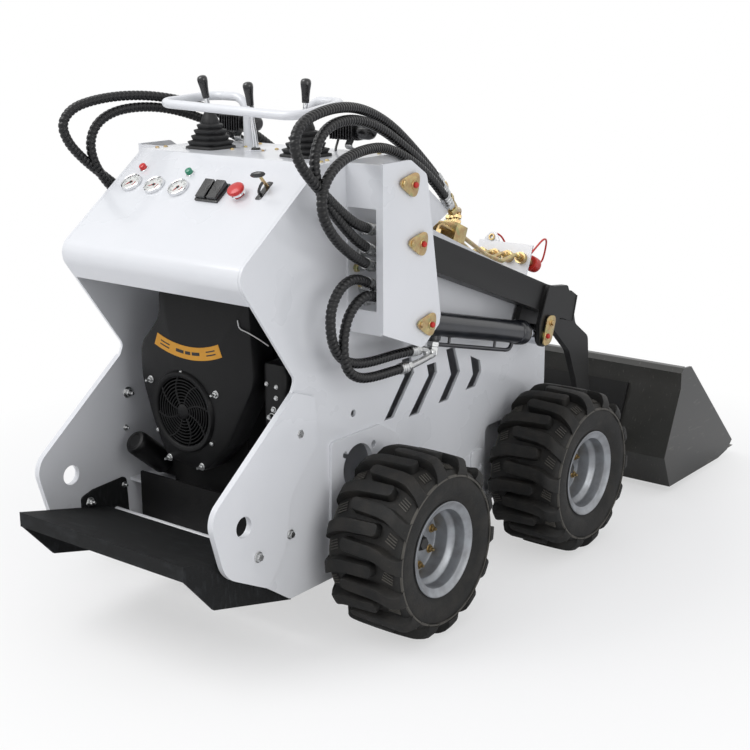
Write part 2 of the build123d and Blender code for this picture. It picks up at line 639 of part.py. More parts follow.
def wheel_parts(x):
    """A right-hand tyre with its two rows of lugs, and its rim, on the axle at X."""
    centre = (x, -TYRE_MIDDLE, TYRE_RADIUS)
    step = 2 * math.pi / CARCASS_SIDES
    flat = 1 / math.cos(step / 2)
    bead = (BEAD_RADIUS + CLEAR) * flat
    profile = (
        (bead, -88), (FLANGE_RADIUS, -94), (160, -TYRE_HALF_WIDTH), (196, -102), (204, -60), (CARCASS_RADIUS, 0),
        (204, 60), (196, 102), (160, TYRE_HALF_WIDTH), (FLANGE_RADIUS, 94), (bead, 88),
    )

    def ring_point(radius, out, turn):
        return Vector(radius * math.sin(turn), -out, -radius * math.cos(turn))

    faces = []
    for index in range(CARCASS_SIDES):
        low, high = index * step, (index + 1) * step
        for (r1, y1), (r2, y2) in zip(profile, (*profile[1:], profile[0])):
            corners = [ring_point(r1, y1, low), ring_point(r2, y2, low), ring_point(r2, y2, high),
                       ring_point(r1, y1, high)]
            faces.append(Face(Wire.make_polygon(corners, close=True)))
    carcass = Solid(Shell(faces))
    lug_rows = (
        (6, TYRE_RADIUS, 0.0, 0.045), (60, TYRE_RADIUS - 2, 0.10, 0.055), (103, 214, 0.20, 0.06),
    )
    lug_base = ((6, 198), (60, 196), (98, 186))
    lugs = []
    pitch = 2 * math.pi / LUGS_PER_ROW
    for row in (-1, 1):
        for index in range(LUGS_PER_ROW):
            middle = (index + row * LUG_OFFSET) * pitch
            rings = []
            for (out, radius, lean, half), (base_out, base) in zip(lug_rows, lug_base):
                turn = middle + lean - LUG_OFFSET * pitch
                radius = radius / math.cos(half)
                rings.append([ring_point(radius, row * out, turn - half), ring_point(radius, row * out, turn + half),
                              ring_point(base, row * base_out, turn + half), ring_point(base, row * base_out, turn - half)])
            sides = [Face(Wire.make_polygon(rings[0], close=True)), Face(Wire.make_polygon(rings[-1], close=True))]
            for near, far in zip(rings, rings[1:]):
                for k in range(4):
                    a, b, c, d = near[k], near[(k + 1) % 4], far[(k + 1) % 4], far[k]
                    sides.append(Face(Wire.make_polygon([a, b, c], close=True)))
                    sides.append(Face(Wire.make_polygon([a, c, d], close=True)))
            lugs.append(Solid(Shell(sides)))
    tyre = carcass.fuse(*lugs)
    deep = -50
    rim_profile = (
        (FLANGE_RADIUS, 100), (FLANGE_RADIUS, 95), (BEAD_RADIUS, 92), (BEAD_RADIUS, 60), (86, 48), (86, -48),
        (BEAD_RADIUS, -62), (BEAD_RADIUS, -92), (FLANGE_RADIUS, -95), (FLANGE_RADIUS, -100), (114, -100),
        (97, -94), (97, -64), (82, deep - 2), (SHAFT_RADIUS + CLEAR, deep), (SHAFT_RADIUS + CLEAR, deep + 14),
        (34, deep + 14), (36, deep + 6), (82, deep + 6), (82, 50), (97, 62), (97, 94), (114, 100),
    )
    sketch = make_face(Polyline(*rim_profile, close=True))
    rim = revolve(sketch, axis=Axis.Y)
    for index in range(NUTS):
        turn = 2 * math.pi * index / NUTS
        nut = Pos(NUT_CIRCLE * math.cos(turn), deep + 6, NUT_CIRCLE * math.sin(turn)) * Rot(-90, 0, 0)
        rim += nut * extrude(RegularPolygon(9, 6), amount=10)
    rim = mirror(rim, about=Plane.XZ)
    place = Pos(*centre)
    return place * tyre, place * rim


def outside(points):
    """Points whose middle value is a distance out from the body's right side, as X, Y and Z."""
    return [(x, -(BODY_HALF + out), z) for x, out, z in points]


# Hoses on the right: the first point is in its lower fitting, the last in its upper one.
HOSE_A = outside((
    (-35, 57, 996), (-90, 67, 1010), (-150, 73, 1042), (-214, 77, 1088), (-274, 80, 1135),
    (-318, 81, 1180), (-333, 81, 1226), (-300, 75, 1262), (-232, 65, 1278), (-150, 50, 1284),
    (-60, 30, 1278), (40, 5, 1256), (140, -15, 1218), (235, -31, 1164), (320, -41, 1106), (378, -47, 1062),
))
HOSE_B = outside((
    (-40, 57, 948), (-96, 65, 974), (-152, 69, 1018), (-204, 71, 1066), (-244, 71, 1118),
    (-256, 71, 1172), (-236, 67, 1218), (-186, 57, 1246), (-112, 43, 1254), (-30, 27, 1246),
    (60, 11, 1220), (150, -3, 1180), (240, -11, 1130), (318, -17, 1078), (366, -20, 1036),
))
HOSE_C = outside((
    (-44, 59, 912), (-100, 71, 934), (-160, 82, 966), (-215, 89, 1006), (-250, 91, 1052),
    (-256, 91, 1098), (-230, 87, 1138), (-178, 79, 1166), (-110, 65, 1178), (-36, 47, 1182),
    (50, 27, 1178), (140, 13, 1152), (225, 9, 1110), (300, 7, 1058), (346, 6, 1012),
))


def upper_hoses():
    """The hoses that loop from the towers' notches over to the nose, three on the right and two on the left."""
    made = [pipe(points, HOSE_RADIUS) for points in (HOSE_A, HOSE_B, HOSE_C)]
    for points in (HOSE_A, HOSE_B):
        made.append(pipe([(x, -y, z) for x, y, z in points], HOSE_RADIUS))
    return made


# The two hoses of the right-hand lift cylinder, from the notch down to the barrel's port.
HOSE_D = outside((
    (-34, 57, 862), (-76, 61, 884), (-126, 65, 892), (-172, 69, 876), (-202, 70, 838),
    (-206, 70, 790), (-192, 68, 742), (-158, 65, 706), (-108, 63, 686), (-48, 61, 678),
    (20, 59, 676), (84, 57, 674), (140, 55, 668),
))
HOSE_E = outside((
    (-20, 71, 828), (-62, 73, 848), (-108, 75, 842), (-146, 75, 812), (-164, 75, 768),
    (-166, 75, 718), (-148, 75, 676), (-106, 74, 652), (-52, 73, 644), (12, 72, 642), (78, 71, 640),
))


def lift_hoses():
    """The hoses from the towers down to the lift barrels."""
    made = []
    for points in (HOSE_D, HOSE_E):
        made += both_sides(pipe(points, HOSE_RADIUS))
    return made


def hose_fittings():
    """The elbow through the body's side at each hose's start, with its crimped sleeve."""
    made = []
    for points in (HOSE_A, HOSE_B, HOSE_C, HOSE_D, HOSE_E):
        start, after = Vector(points[0]), Vector(points[1])
        back = (start - after).normalized()
        sleeve = rod(start, start + back * 26, HOSE_RADIUS + 2)
        corner = start + back * 24
        stem = rod(corner, (corner.X, -BODY_HALF, corner.Z), 10)
        made += both_sides(sleeve + stem)
    return made


HOOD_ANGLE = heading(HOOD_TOP, (FRONT_X, HOOD_END_Z))


def above_hood(down, up, y):
    """A point given by how far down the hood from its top, how far above it, and Y."""
    x, z = along(along(HOOD_TOP, HOOD_ANGLE, down), HOOD_ANGLE + 90, up)
    return (x, y, z)


COUPLER_Y = (-88, -133, -178, -223)
COUPLER_DOWN = 573
COUPLER_UP = 65


def hose_brackets():
    """The upright plate that carries the couplers on the hood."""
    outline = [above_hood(*p, 0) for p in ((573, 0), (573, 108), (579, 108), (579, 6), (612, 6), (612, 0))]
    plate = side_plate([(x, z) for x, _, z in outline], 62, 248)
    for y in COUPLER_Y:
        plate -= rod(above_hood(560, COUPLER_UP, y), above_hood(590, COUPLER_UP, y), 12)
    return [plate]


def hydraulic_tubes():
    """The couplers and the steel tubes that run to them down the hood."""
    made = []
    for index, y in enumerate(COUPLER_Y):
        coupler = rod(above_hood(553, COUPLER_UP, y), above_hood(640, COUPLER_UP, y), 12)
        coupler += rod(above_hood(579, COUPLER_UP, y), above_hood(594, COUPLER_UP, y), 17)
        coupler += rod(above_hood(558, COUPLER_UP, y), above_hood(573, COUPLER_UP, y), 17)
        start = -(195 + 28 * index)
        points = (
            above_hood(46, 0, start), above_hood(46, 26, start), above_hood(150, 26, start),
            above_hood(380, 26, y), above_hood(470, 30, y), above_hood(530, COUPLER_UP, y),
            above_hood(556, COUPLER_UP, y),
        )
        made.append(coupler + pipe(points, TUBE_RADIUS, 30))
    return made


def build():
    """Builds every piece and writes it."""
    os.makedirs("parts", exist_ok=True)
    finished_pair("side_panel", side_panel())
    finished("side_doublers", *both_sides(lobe_plate()), *both_sides(wheel_bay_plate()))
    finished("body_tub", body_tub())
    finished("wheel_motors", *wheel_motors())
    finished_pair("tower", tower())
    finished("tower_pins", *tower_pins())
    finished("pin_keepers", *pin_keepers())
    finished("control_panel", control_panel())
    finished("hood", hood())
    finished("platform", platform())
    finished("platform_brackets", *platform_brackets())
    finished("cross_tube", cross_tube())
    finished("engine", engine())
    finished("engine_blower", engine_blower())
    finished("oil_filter", oil_filter())
    finished("handle_bar", handle_bar())
    finished("lever_boots", lever_boot(-40, -158), lever_boot(-40, 158))
    finished("control_levers", *control_levers())
    finished("work_lamps", *work_lamps())
    finished("lamp_brackets", *lamp_brackets())
    finished("gauges", *gauges())
    finished("panel_switches", *panel_switches())
    finished_pair("lift_arm", arm())
    finished_pair("arm_leg", leg())
    finished("cross_beam", cross_beam())
    finished("arm_pins", *arm_pins())
    barrel, stick = cylinder(BASE_PIN, ROD_PIN, LIFT_Y, LIFT_EYE, EYE_HALF, LIFT_BARREL, LIFT_ROD, 30, 530, 200)
    finished_pair("lift_barrel", lift_port(barrel))
    finished_pair("lift_rod", stick)
    barrel, stick = cylinder(TILT_BASE, TILT_EYE_PIN, 0, TILT_EYE, EYE_HALF, TILT_BARREL, TILT_ROD, 50, 395, 110)
    finished("tilt_barrel", barrel)
    finished("tilt_rod", stick)
    finished("coupling_plate", coupling_plate())
    finished("coupling_pins", *coupling_pins())
    finished("bucket", bucket())
    finished("bucket_edge", bucket_edge())
    for place, x in (("rear", 0), ("front", WHEELBASE)):
        tyre, rim = wheel_parts(x)
        finished_pair(f"tyre_{place}", tyre)
        finished_pair(f"rim_{place}", rim)
    finished("upper_hoses", *upper_hoses())
    finished("lift_hoses", *lift_hoses())
    finished("hose_fittings", *hose_fittings())
    finished("hose_brackets", *hose_brackets())
    finished("hydraulic_tubes", *hydraulic_tubes())


build()
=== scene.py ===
import math

import bmesh
import bpy
import numpy as np
from mathutils import Matrix


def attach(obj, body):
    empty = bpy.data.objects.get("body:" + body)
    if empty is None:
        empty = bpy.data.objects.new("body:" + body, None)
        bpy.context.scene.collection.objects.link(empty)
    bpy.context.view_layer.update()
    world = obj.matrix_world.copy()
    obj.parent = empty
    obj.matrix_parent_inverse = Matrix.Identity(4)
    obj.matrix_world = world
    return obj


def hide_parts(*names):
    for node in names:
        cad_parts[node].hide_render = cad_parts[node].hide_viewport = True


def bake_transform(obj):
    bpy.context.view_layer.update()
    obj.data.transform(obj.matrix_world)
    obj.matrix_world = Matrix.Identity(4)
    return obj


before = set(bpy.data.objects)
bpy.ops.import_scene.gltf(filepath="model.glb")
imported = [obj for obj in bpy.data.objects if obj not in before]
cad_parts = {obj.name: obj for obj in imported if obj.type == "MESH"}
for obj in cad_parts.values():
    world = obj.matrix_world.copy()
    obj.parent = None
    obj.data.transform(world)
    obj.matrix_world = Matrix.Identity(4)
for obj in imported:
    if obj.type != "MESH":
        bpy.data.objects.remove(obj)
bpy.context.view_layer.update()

# The camera
# It stands behind the machine's right rear corner, a little above the levers, and looks slightly down.
# The machine's own millimetres count X forward from the rear axle, Y to the left and Z up from the ground.
REAR_AXLE = (570.0, 0.0, 0.0)
CAMERA_AT = (-2598.9, -2367.2, 1532.1)
CAMERA_YAW = 0.664122
CAMERA_DOWN = 0.266225
CAMERA_ROLL = -0.005
FILM = 36.0
LENS = 1405.45 * FILM / 750


def metres(points):
    """The frame's metres from the machine's millimetres, less the rear axle's distance."""
    return (np.asarray(points, float) - REAR_AXLE) / 1000


def placed(across, upward, backward, at):
    """A turned place: three directions and a point as the columns of a matrix."""
    columns = np.stack([across, upward, backward, at], axis=1)
    return Matrix(np.vstack([columns, (0, 0, 0, 1)]).tolist())


def shown(name, data):
    """A new object of the scene that shows this data."""
    obj = bpy.data.objects.new(name, data)
    bpy.context.scene.collection.objects.link(obj)
    return obj


aside = np.array([math.cos(CAMERA_YAW), math.sin(CAMERA_YAW), 0])
look = math.cos(CAMERA_DOWN) * aside - (0, 0, math.sin(CAMERA_DOWN))
level = np.array([math.sin(CAMERA_YAW), -math.cos(CAMERA_YAW), 0.0])
upright = np.cross(level, look)
right = math.cos(CAMERA_ROLL) * level + math.sin(CAMERA_ROLL) * upright
up = math.cos(CAMERA_ROLL) * upright - math.sin(CAMERA_ROLL) * level
lens = bpy.data.cameras.new("camera")
lens.lens = LENS
lens.sensor_width = FILM
lens.clip_end = 200
camera = shown("camera", lens)
camera.matrix_world = placed(right, up, -look, metres(CAMERA_AT))
bpy.context.scene.camera = camera
bpy.context.scene.view_settings.view_transform = "Standard"


# Light and floor
# A white studio: an even sky, one large soft lamp over the operator's left shoulder and a weak one low on
# the right. The floor is pale near the machine and runs into the white background.
def colour(red, green, blue):
    """A colour for a shader from the 0 to 255 that a picture shows, by the usual screen curve."""
    c = np.array([red, green, blue]) / 255
    return (*np.where(c <= 0.04045, c / 12.92, ((c + 0.055) / 1.055) ** 2.4), 1.0)


def unit(v):
    """A direction of length one."""
    v = np.asarray(v, float)
    return v / np.linalg.norm(v, axis=-1, keepdims=True)


def put(tree, place, value):
    """Links an input to a value of the node tree, or sets it to a number or a colour."""
    if isinstance(value, Value):
        tree.links.new(value.socket, place)
    else:
        place.default_value = value


class Value:
    """A socket of a node tree. Arithmetic on it adds a Math node and gives that node's result."""

    def __init__(self, tree, socket):
        self.tree = tree
        self.socket = socket

    def math(self, operation, first, second):
        node = self.tree.nodes.new("ShaderNodeMath")
        node.operation = operation
        put(self.tree, node.inputs[0], first)
        put(self.tree, node.inputs[1], second)
        return Value(self.tree, node.outputs[0])

    def __add__(self, other):
        return self.math("ADD", self, other)

    def __rsub__(self, other):
        return self.math("SUBTRACT", other, self)

    def __mul__(self, other):
        return self.math("MULTIPLY", self, other)

    def step(self, low, high):
        """0 below low, 1 above high and a straight slope between them."""
        node = self.tree.nodes.new("ShaderNodeMapRange")
        put(self.tree, node.inputs["Value"], self)
        node.inputs["From Min"].default_value = low
        node.inputs["From Max"].default_value = high
        return Value(self.tree, node.outputs[0])


class Tree:
    """A node tree that adds any node by its type, its settings and its inputs."""

    def __init__(self, tree):
        self.tree = tree

    def node(self, kind, settings=None, output=0, **inputs):
        """One output of a new node. An input is named by its label, or i and its number."""
        node = self.tree.nodes.new("ShaderNode" + kind)
        for name, value in (settings or {}).items():
            setattr(node, name, value)
        for name, value in inputs.items():
            numbered = name[0] == "i" and name[1:].isdigit()
            put(self.tree, node.inputs[int(name[1:]) if numbered else name.replace("_", " ")], value)
        return Value(self.tree, node.outputs[output])

    def mix(self, share, one, other):
        """One colour, or the other where the share is 1."""
        return self.node("Mix", {"data_type": "RGBA"}, 2, i0=share, i6=one, i7=other)

    def end(self, kind, surface):
        """The tree's own end, with its surface."""
        put(self.tree, self.tree.nodes.new("ShaderNode" + kind).inputs["Surface"], surface)


WHITE = (1, 1, 1, 1)
world = bpy.data.worlds.new("studio")
bpy.context.scene.world = world
world.use_nodes = True
world.node_tree.nodes.clear()
sky = Tree(world.node_tree)
ray = [sky.node("LightPath", output=n) for n in (0, 3, 6)]
seen = (ray[0] + ray[1] + ray[2]).step(0, 1)
height = sky.node("SeparateXYZ", output=2, Vector=sky.node("TexCoord"))
dome = sky.mix(height.step(-0.25, 0.9), colour(158, 160, 164), colour(219, 220, 224))
sky.end("OutputWorld", sky.node("Background", Color=sky.mix(seen, dome, WHITE), Strength=1.0))


def soft_lamp(name, place, aim, width, power):
    """A square lamp at a place, its back to the line from what it is aimed at."""
    data = bpy.data.lights.new(name, "AREA")
    data.shape = "SQUARE"
    data.size = width
    data.energy = power
    direction = unit(np.subtract(place, aim))
    side = unit(np.cross((0, 0, 1), direction))
    shown(name, data).matrix_world = placed(side, np.cross(direction, side), direction, place)


soft_lamp("key_lamp", (-3.2, 1.6, 4.6), (-0.3, 0, 0.6), 3.0, 125)
soft_lamp("fill_lamp", (-1.5, -5.0, 2.2), (0, 0, 0.5), 3.2, 55)

FLOOR_HALF = 60
floor_mesh = bpy.data.meshes.new("floor")
floor_corners = [(FLOOR_HALF * x, FLOOR_HALF * y, 0) for x, y in ((-1, -1), (1, -1), (1, 1), (-1, 1))]
floor_mesh.from_pydata(floor_corners, [], [(0, 1, 2, 3)])
floor = shown("floor", floor_mesh)
floor_paint = bpy.data.materials.new("studio_floor")
floor_paint.use_nodes = True
floor_paint.node_tree.nodes.clear()
ground = Tree(floor_paint.node_tree)
away = ground.node("VectorMath", {"operation": "LENGTH"}, 1, i0=ground.node("TexCoord", output=3))
camera_ray = ground.node("LightPath")
pale = ground.node("BsdfDiffuse", Color=colour(242, 242, 242))
white = ground.node("Emission", Color=WHITE, Strength=1.0)
share = camera_ray * (away.step(0.9, 1.9) * 0.45 + 0.55)
ground.end("OutputMaterial", ground.node("MixShader", i0=share, i1=pale, i2=white))
floor_mesh.materials.append(floor_paint)


# White bodywork
# The sides, console, hood and towers are 4 and 8 mm steel plate, cut, bent and welded. They are powder
# coated in a cool gloss white, and each cut edge keeps a small worn radius under the coat.
class Finish(Tree):
    """A material: its shader, the numbers that are the same all over it, and what its nodes vary."""

    def __init__(self, name, **uniform):
        self.material = bpy.data.materials.new(name)
        self.material.use_nodes = True
        super().__init__(self.material.node_tree)
        self.shader = self.tree.nodes["Principled BSDF"]
        self.place = self.node("TexCoord", output=3)
        self.feed(**uniform)

    def noise(self, scale, detail=3.0, stretch=(1, 1, 1)):
        """Cloudy noise from 0 to 1 in the object's own metres, with so many lumps to the metre."""
        place = self.place
        if stretch != (1, 1, 1):
            place = self.node("Mapping", Vector=place, Scale=stretch)
        return self.node("TexNoise", Vector=place, Scale=scale, Detail=detail)

    def feed(self, **values):
        """Gives the shader's inputs, by their labels, a value each."""
        for label, value in values.items():
            put(self.tree, self.shader.inputs[label.replace("_", " ")], value)

    def bump(self, height, depth, strength=1.0):
        """Raises the surface by a height from 0 to 1, so many metres deep."""
        self.feed(Normal=self.node("Bump", Strength=strength, Distance=depth, Height=height))

    def on(self, *nodes):
        """Gives each named CAD node this material alone."""
        for node in nodes:
            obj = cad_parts[node]
            if obj.data.materials:
                for place in obj.material_slots:
                    place.link = "OBJECT"
                    place.material = self.material
            else:
                obj.data.materials.append(self.material)


white_paint = Finish("white_powder_coat", IOR=1.5, Coat_Weight=0.35, Coat_Roughness=0.06)
film = white_paint.noise(3.0, 4.0)
height = white_paint.node("SeparateXYZ", output=2, Vector=white_paint.place)
dust = (film.step(0.5, 0.75) * 0.5 + 0.5) * (1 - height.step(0.12, 0.5)) * 0.5
coat = white_paint.mix(film.step(0.3, 0.7), colour(222, 224, 227), colour(229, 230, 233))
white_paint.feed(Base_Color=white_paint.mix(dust, coat, colour(196, 194, 190)))
white_paint.feed(Roughness=film.step(0.25, 0.8) * 0.12 + 0.24)
white_paint.bump(white_paint.noise(420.0, 2.0), 0.0004, 0.12)

SHARP = math.radians(32)
FLAT = math.radians(0.6)


def join_flat(work):
    """Makes one face of those that lie in a plane."""
    bmesh.ops.dissolve_limit(work, angle_limit=FLAT, verts=work.verts, edges=work.edges)


def settled(mesh, merge, mend, finishes, sharp, body, replaces):
    """An object from a mesh: near points merged, faces mended, smooth but for sharp edges, put on a body."""
    work = bmesh.new()
    work.from_mesh(mesh)
    bmesh.ops.remove_doubles(work, verts=work.verts, dist=merge)
    mend(work)
    work.to_mesh(mesh)
    work.free()
    for finish in finishes:
        mesh.materials.append(finish.material)
    mesh.polygons.foreach_set("use_smooth", np.ones(len(mesh.polygons), bool))
    mesh.set_sharp_from_angle(angle=sharp)
    obj = shown(mesh.name, mesh)
    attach(obj, body)
    if replaces:
        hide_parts(*replaces)
    return obj


def softened(nodes, width, finish, body="root"):
    """CAD plates with rounded edges: a merged copy of each mesh, its flat faces joined, with a live Bevel."""
    for node in nodes:
        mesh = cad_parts[node].data.copy()
        mesh.name = f"{node}_formed"
        mesh.materials.clear()
        obj = settled(mesh, 2e-5, join_flat, [finish], SHARP, body, [node])
        bevel = obj.modifiers.new("worn_radius", "BEVEL")
        bevel.width = width / 1000
        bevel.segments = 2
        bevel.limit_method = "ANGLE"
        bevel.angle_limit = SHARP
        bevel.use_clamp_overlap = True
        bevel.harden_normals = True


PLATES = ("side_panel_right", "side_panel_left", "side_doublers", "tower_right", "tower_left", "hose_brackets")
softened(PLATES, 1.4, white_paint)
softened(("control_panel", "hood", "body_tub"), 1.0, white_paint)
white_paint.on("cross_tube", "handle_bar")


# Bolts and screws of the body
# Bright zinc hexagon bolts with washers hold the lobes and the engine. Yellow zinc screws hold the console.
def plain(name, spots, dark, light, rough=None, relief=None, spread=None, **uniform):
    """A finish of two colours shared out by noise, spots being its scale and detail. Rough gives a noise, how
    far it spreads the roughness, the least of it and its ends; relief a noise, a depth and a strength."""
    made = Finish(name, **uniform)
    share = made.noise(*spots)
    if spread:
        share = share.step(*spread)
    made.feed(Base_Color=made.mix(share, colour(*dark), colour(*light)))
    if rough:
        clouds, span, least, *ends = rough
        share = made.noise(*clouds)
        if ends:
            share = share.step(*ends)
        made.feed(Roughness=share * span + least)
    if relief:
        clouds, depth, strength = relief
        made.bump(made.noise(*clouds), depth, strength)
    return made


def skin(grid, closed=True, finish=0):
    """Four-sided faces over rings of points; a closed ring joins its last point to its first."""
    rings, around = grid.shape[:2]
    number = np.arange(rings * around).reshape(rings, around)
    if closed:
        number = np.concatenate([number, number[:, :1]], axis=1)
    corners = [number[:-1, :-1], number[:-1, 1:], number[1:, 1:], number[1:, :-1]]
    quads = np.stack(corners, axis=-1).reshape(-1, 4)
    return grid.reshape(-1, 3), quads, np.full(len(quads), finish)


def turn_outwards(work):
    """Turns every face's front outwards."""
    bmesh.ops.recalc_face_normals(work, faces=work.faces)


def make(name, skins, finishes, body="root", replaces=(), sharp=35):
    """One piece from its skins, in the machine's millimetres."""
    points = np.concatenate([s[0] for s in skins])
    starts = np.cumsum([0] + [len(s[0]) for s in skins[:-1]])
    quads = np.concatenate([s[1] + start for s, start in zip(skins, starts)])
    numbers = np.concatenate([s[2] for s in skins])
    mesh = bpy.data.meshes.new(name)
    mesh.from_pydata(metres(points), [], quads)
    mesh.polygons.foreach_set("material_index", numbers.astype(np.int32))
    return settled(mesh, 4e-6, turn_outwards, finishes, math.radians(sharp), body, replaces)


def polar(radius, angle, centre=(0, 0)):
    """Flat points by their radii and angles about a centre."""
    return np.stack([centre[0] + radius * np.cos(angle), centre[1] + radius * np.sin(angle)], axis=-1)


def circle(radius, sides, centre=(0, 0), turn=0.0):
    """The flat points of a regular outline."""
    return polar(radius, turn + 2 * math.pi * np.arange(sides) / sides, centre)


def lathe(profile, centre, axis, sides=32, finish=0):
    """A turned form: a profile of (radius, height) points carried round an axis through a centre."""
    d = unit(axis)
    first = unit(np.cross((0, 0, 1) if abs(d[2]) < 0.9 else (1, 0, 0), d))
    ring = circle(1, sides) @ (first, np.cross(d, first))
    radius, height = np.array(profile, float).T
    grid = np.asarray(centre, float) + height[:, None, None] * d + radius[:, None, None] * ring
    return skin(grid, True, finish)


def drum(low, high, radius, cut=0.0, fall=None):
    """The profile of a solid cylinder between two heights, its edges cut back where cut is given."""
    if not cut:
        return [(0, low), (radius, low), (radius, high), (0, high)]
    fall = cut if fall is None else fall
    edge = radius - cut
    return [(0, low), (edge, low), (radius, low + fall), (radius, high - fall), (edge, high), (0, high)]


WASHER = np.array(((0, 0), (1.35, 0), (1.35, 0.16), (1.28, 0.24), (0, 0.24)))
HEAD = np.array(((0, 0.2), (1, 0.2), (1, 0.85), (0.88, 1), (0, 1)))
SCREW = np.array(((0, 0), (1, 0), (1, 0.2), (0.82, 0.55), (0.45, 0.7), (0.4, 0.7), (0.36, 0.3), (0, 0.3)))


def bolt(centre, axis, size, finish=0, stud=0.0):
    """A washer, a chamfered hexagon head and, where it has one, the rounded end of a stud."""
    skins = [lathe(WASHER * size, centre, axis, 24, finish), lathe(HEAD * size, centre, axis, 6, finish)]
    if stud:
        top = size + stud
        half = size * 0.5
        end = [(0, size * 0.9), (half, size * 0.9), (half, top), (size * 0.36, top + 2), (0, top + 2)]
        skins.append(lathe(end, centre, axis, 16, finish))
    return skins


def screw(centre, axis, size):
    """A low round head over a small washer, with a shallow round socket."""
    return [lathe(SCREW * size, centre, axis, 18)]


bright_zinc = plain(
    "bright_zinc", (160,), (176, 177, 178), (214, 215, 214), ((90,), 0.2, 0.2, 0.2, 0.8),
    ((900,), 0.0002, 0.3), Metallic=1.0,
)
gold_zinc = Finish("yellow_zinc", Metallic=1.0)
patches = gold_zinc.noise(70.0, 2.0)
warm = gold_zinc.mix(patches.step(0.35, 0.6), colour(204, 186, 134), colour(192, 162, 120))
gold_zinc.feed(Base_Color=gold_zinc.mix(gold_zinc.noise(45.0).step(0.55, 0.7), warm, colour(172, 174, 128)))
gold_zinc.feed(Roughness=patches * 0.2 + 0.2)
gold_zinc.bump(gold_zinc.noise(700.0), 0.0002, 0.3)

SIDES = (-1, 1)
FORWARD, LEFTWARD, UPWARD = (1, 0, 0), (0, 1, 0), (0, 0, 1)
BACKWARD = (-1, 0, 0)
BODY_HALF = 295
PLATE = 8
DECK_Z = 1154
LOBE_BOLTS = ((-245, 538, 11), (-279, 297, 9), (-400, 281, 10), (-257, 446, 6))
skins = []
for side in SIDES:
    for x, z, size in LOBE_BOLTS:
        outside = BODY_HALF + PLATE if z < 500 and size > 9 else BODY_HALF
        skins += bolt((x, side * outside, z), (0, side, 0), size)
        skins += bolt((x, side * (BODY_HALF - PLATE), z), (0, -side, 0), size, stud=size * 0.9)
make("lobe_bolts", skins, [bright_zinc])

DECK_SCREWS = (
    (-36, 88), (25, 99), (29, -3), (-19, 2), (-112, 276), (-86, 273), (-82, -259), (-114, -268), (100, 118),
    (100, -92), (40, 272), (104, 272), (104, -268),
)
skins = []
for x, y in DECK_SCREWS:
    skins += screw((x, y, DECK_Z), UPWARD, 5.5)
make("console_screws", skins, [gold_zinc])


# The foot platform
# A folded tread on two wedge sides, hung between the lobes. It is coated with a rough black grit that grips
# a boot's sole and has worn grey where feet stand.
platform_black = Finish("grit_black", Specular_IOR_Level=0.3)
grit = platform_black.noise(520.0, 4.0)
streaks = platform_black.noise(34.0, 4.0, (3.2, 0.5, 1.0))
worn = streaks.step(0.52, 0.72)
platform_black.feed(Base_Color=platform_black.mix(worn * 0.8, colour(16, 17, 18), colour(38, 40, 42)))
platform_black.feed(Roughness=0.9 - grit * 0.3)
platform_black.bump(grit * 0.7 + streaks * 0.5, 0.0022, 0.9)
softened(["platform"], 1.2, platform_black)
softened(["platform_brackets"], 1.0, platform_black)
skins = []
for side in SIDES:
    skins += bolt((-395, side * 280, 284), (0, -side, 0), 9, stud=8)
make("platform_bolts", skins, [bright_zinc])


# The engine
# A two-cylinder petrol engine stands in the dark bay behind the platform. Under it an upright black plate is
# painted shade: it stands for the dark of the bay there. The engine's black blower housing faces the operator,
# with a round slotted guard over the fan, a curved yellow plate and the oil filter low on the left.
def rounded(points, radius, steps=6):
    """An outline with its corners rounded, each by points of a quadratic curve between its sides."""
    points = np.asarray(points, float)
    before, after = np.roll(points, 1, 0) - points, np.roll(points, -1, 0) - points
    shorter = np.minimum(np.linalg.norm(before, axis=1), np.linalg.norm(after, axis=1))
    reach = np.minimum(radius, 0.45 * shorter)[:, None]
    start, end = points + unit(before) * reach, points + unit(after) * reach
    t = np.linspace(0, 1, steps + 1)[:, None, None]
    curve = (1 - t) ** 2 * start + 2 * t * (1 - t) * points + t**2 * end
    return curve.transpose(1, 0, 2).reshape(-1, 2)


def oblong(half_wide, half_high, radius):
    """A rectangle about the origin with rounded corners."""
    corners = ((-1, -1), (1, -1), (1, 1), (-1, 1))
    return rounded(np.multiply(corners, (half_wide, half_high)), radius)


def drawn_in(outline, distance):
    """An outline moved inwards: each point goes along the mean of its two sides' normals."""
    after = np.roll(outline, -1, 0)
    area = np.sum(outline[:, 0] * after[:, 1] - after[:, 0] * outline[:, 1])
    mean = unit(unit(after - outline) + unit(outline - np.roll(outline, 1, 0)))
    return outline + np.stack([-mean[:, 1], mean[:, 0]], axis=1) * np.sign(area) * distance


def plate(outline, low, high, origin, across=FORWARD, upward=UPWARD, edge=1.0, finish=0, hole=None):
    """A flat plate with rounded edges: its outline carried from one face to the other and closed to its
    middle, or to a hole, given as an outline with as many points."""
    outline = np.asarray(outline, float)
    across, upward = np.asarray(across, float), np.asarray(upward, float)
    inner = np.repeat(outline.mean(0)[None], len(outline), 0) if hole is None else np.asarray(hole, float)
    small = edge * 0.3
    face, shoulder = drawn_in(outline, edge), drawn_in(outline, small)
    rings = [(inner, low), (face, low), (shoulder, low + small), (outline, low + edge)]
    rings += [(outline, high - edge), (shoulder, high - small), (face, high), (inner, high)]
    if hole is not None:
        rings.append(rings[0])
    flat = np.stack([r for r, _ in rings])
    rise = np.array([h for _, h in rings])[:, None, None] * np.cross(across, upward)
    grid = np.asarray(origin, float) + flat[..., :1] * across + flat[..., 1:] * upward + rise
    return skin(grid, True, finish)


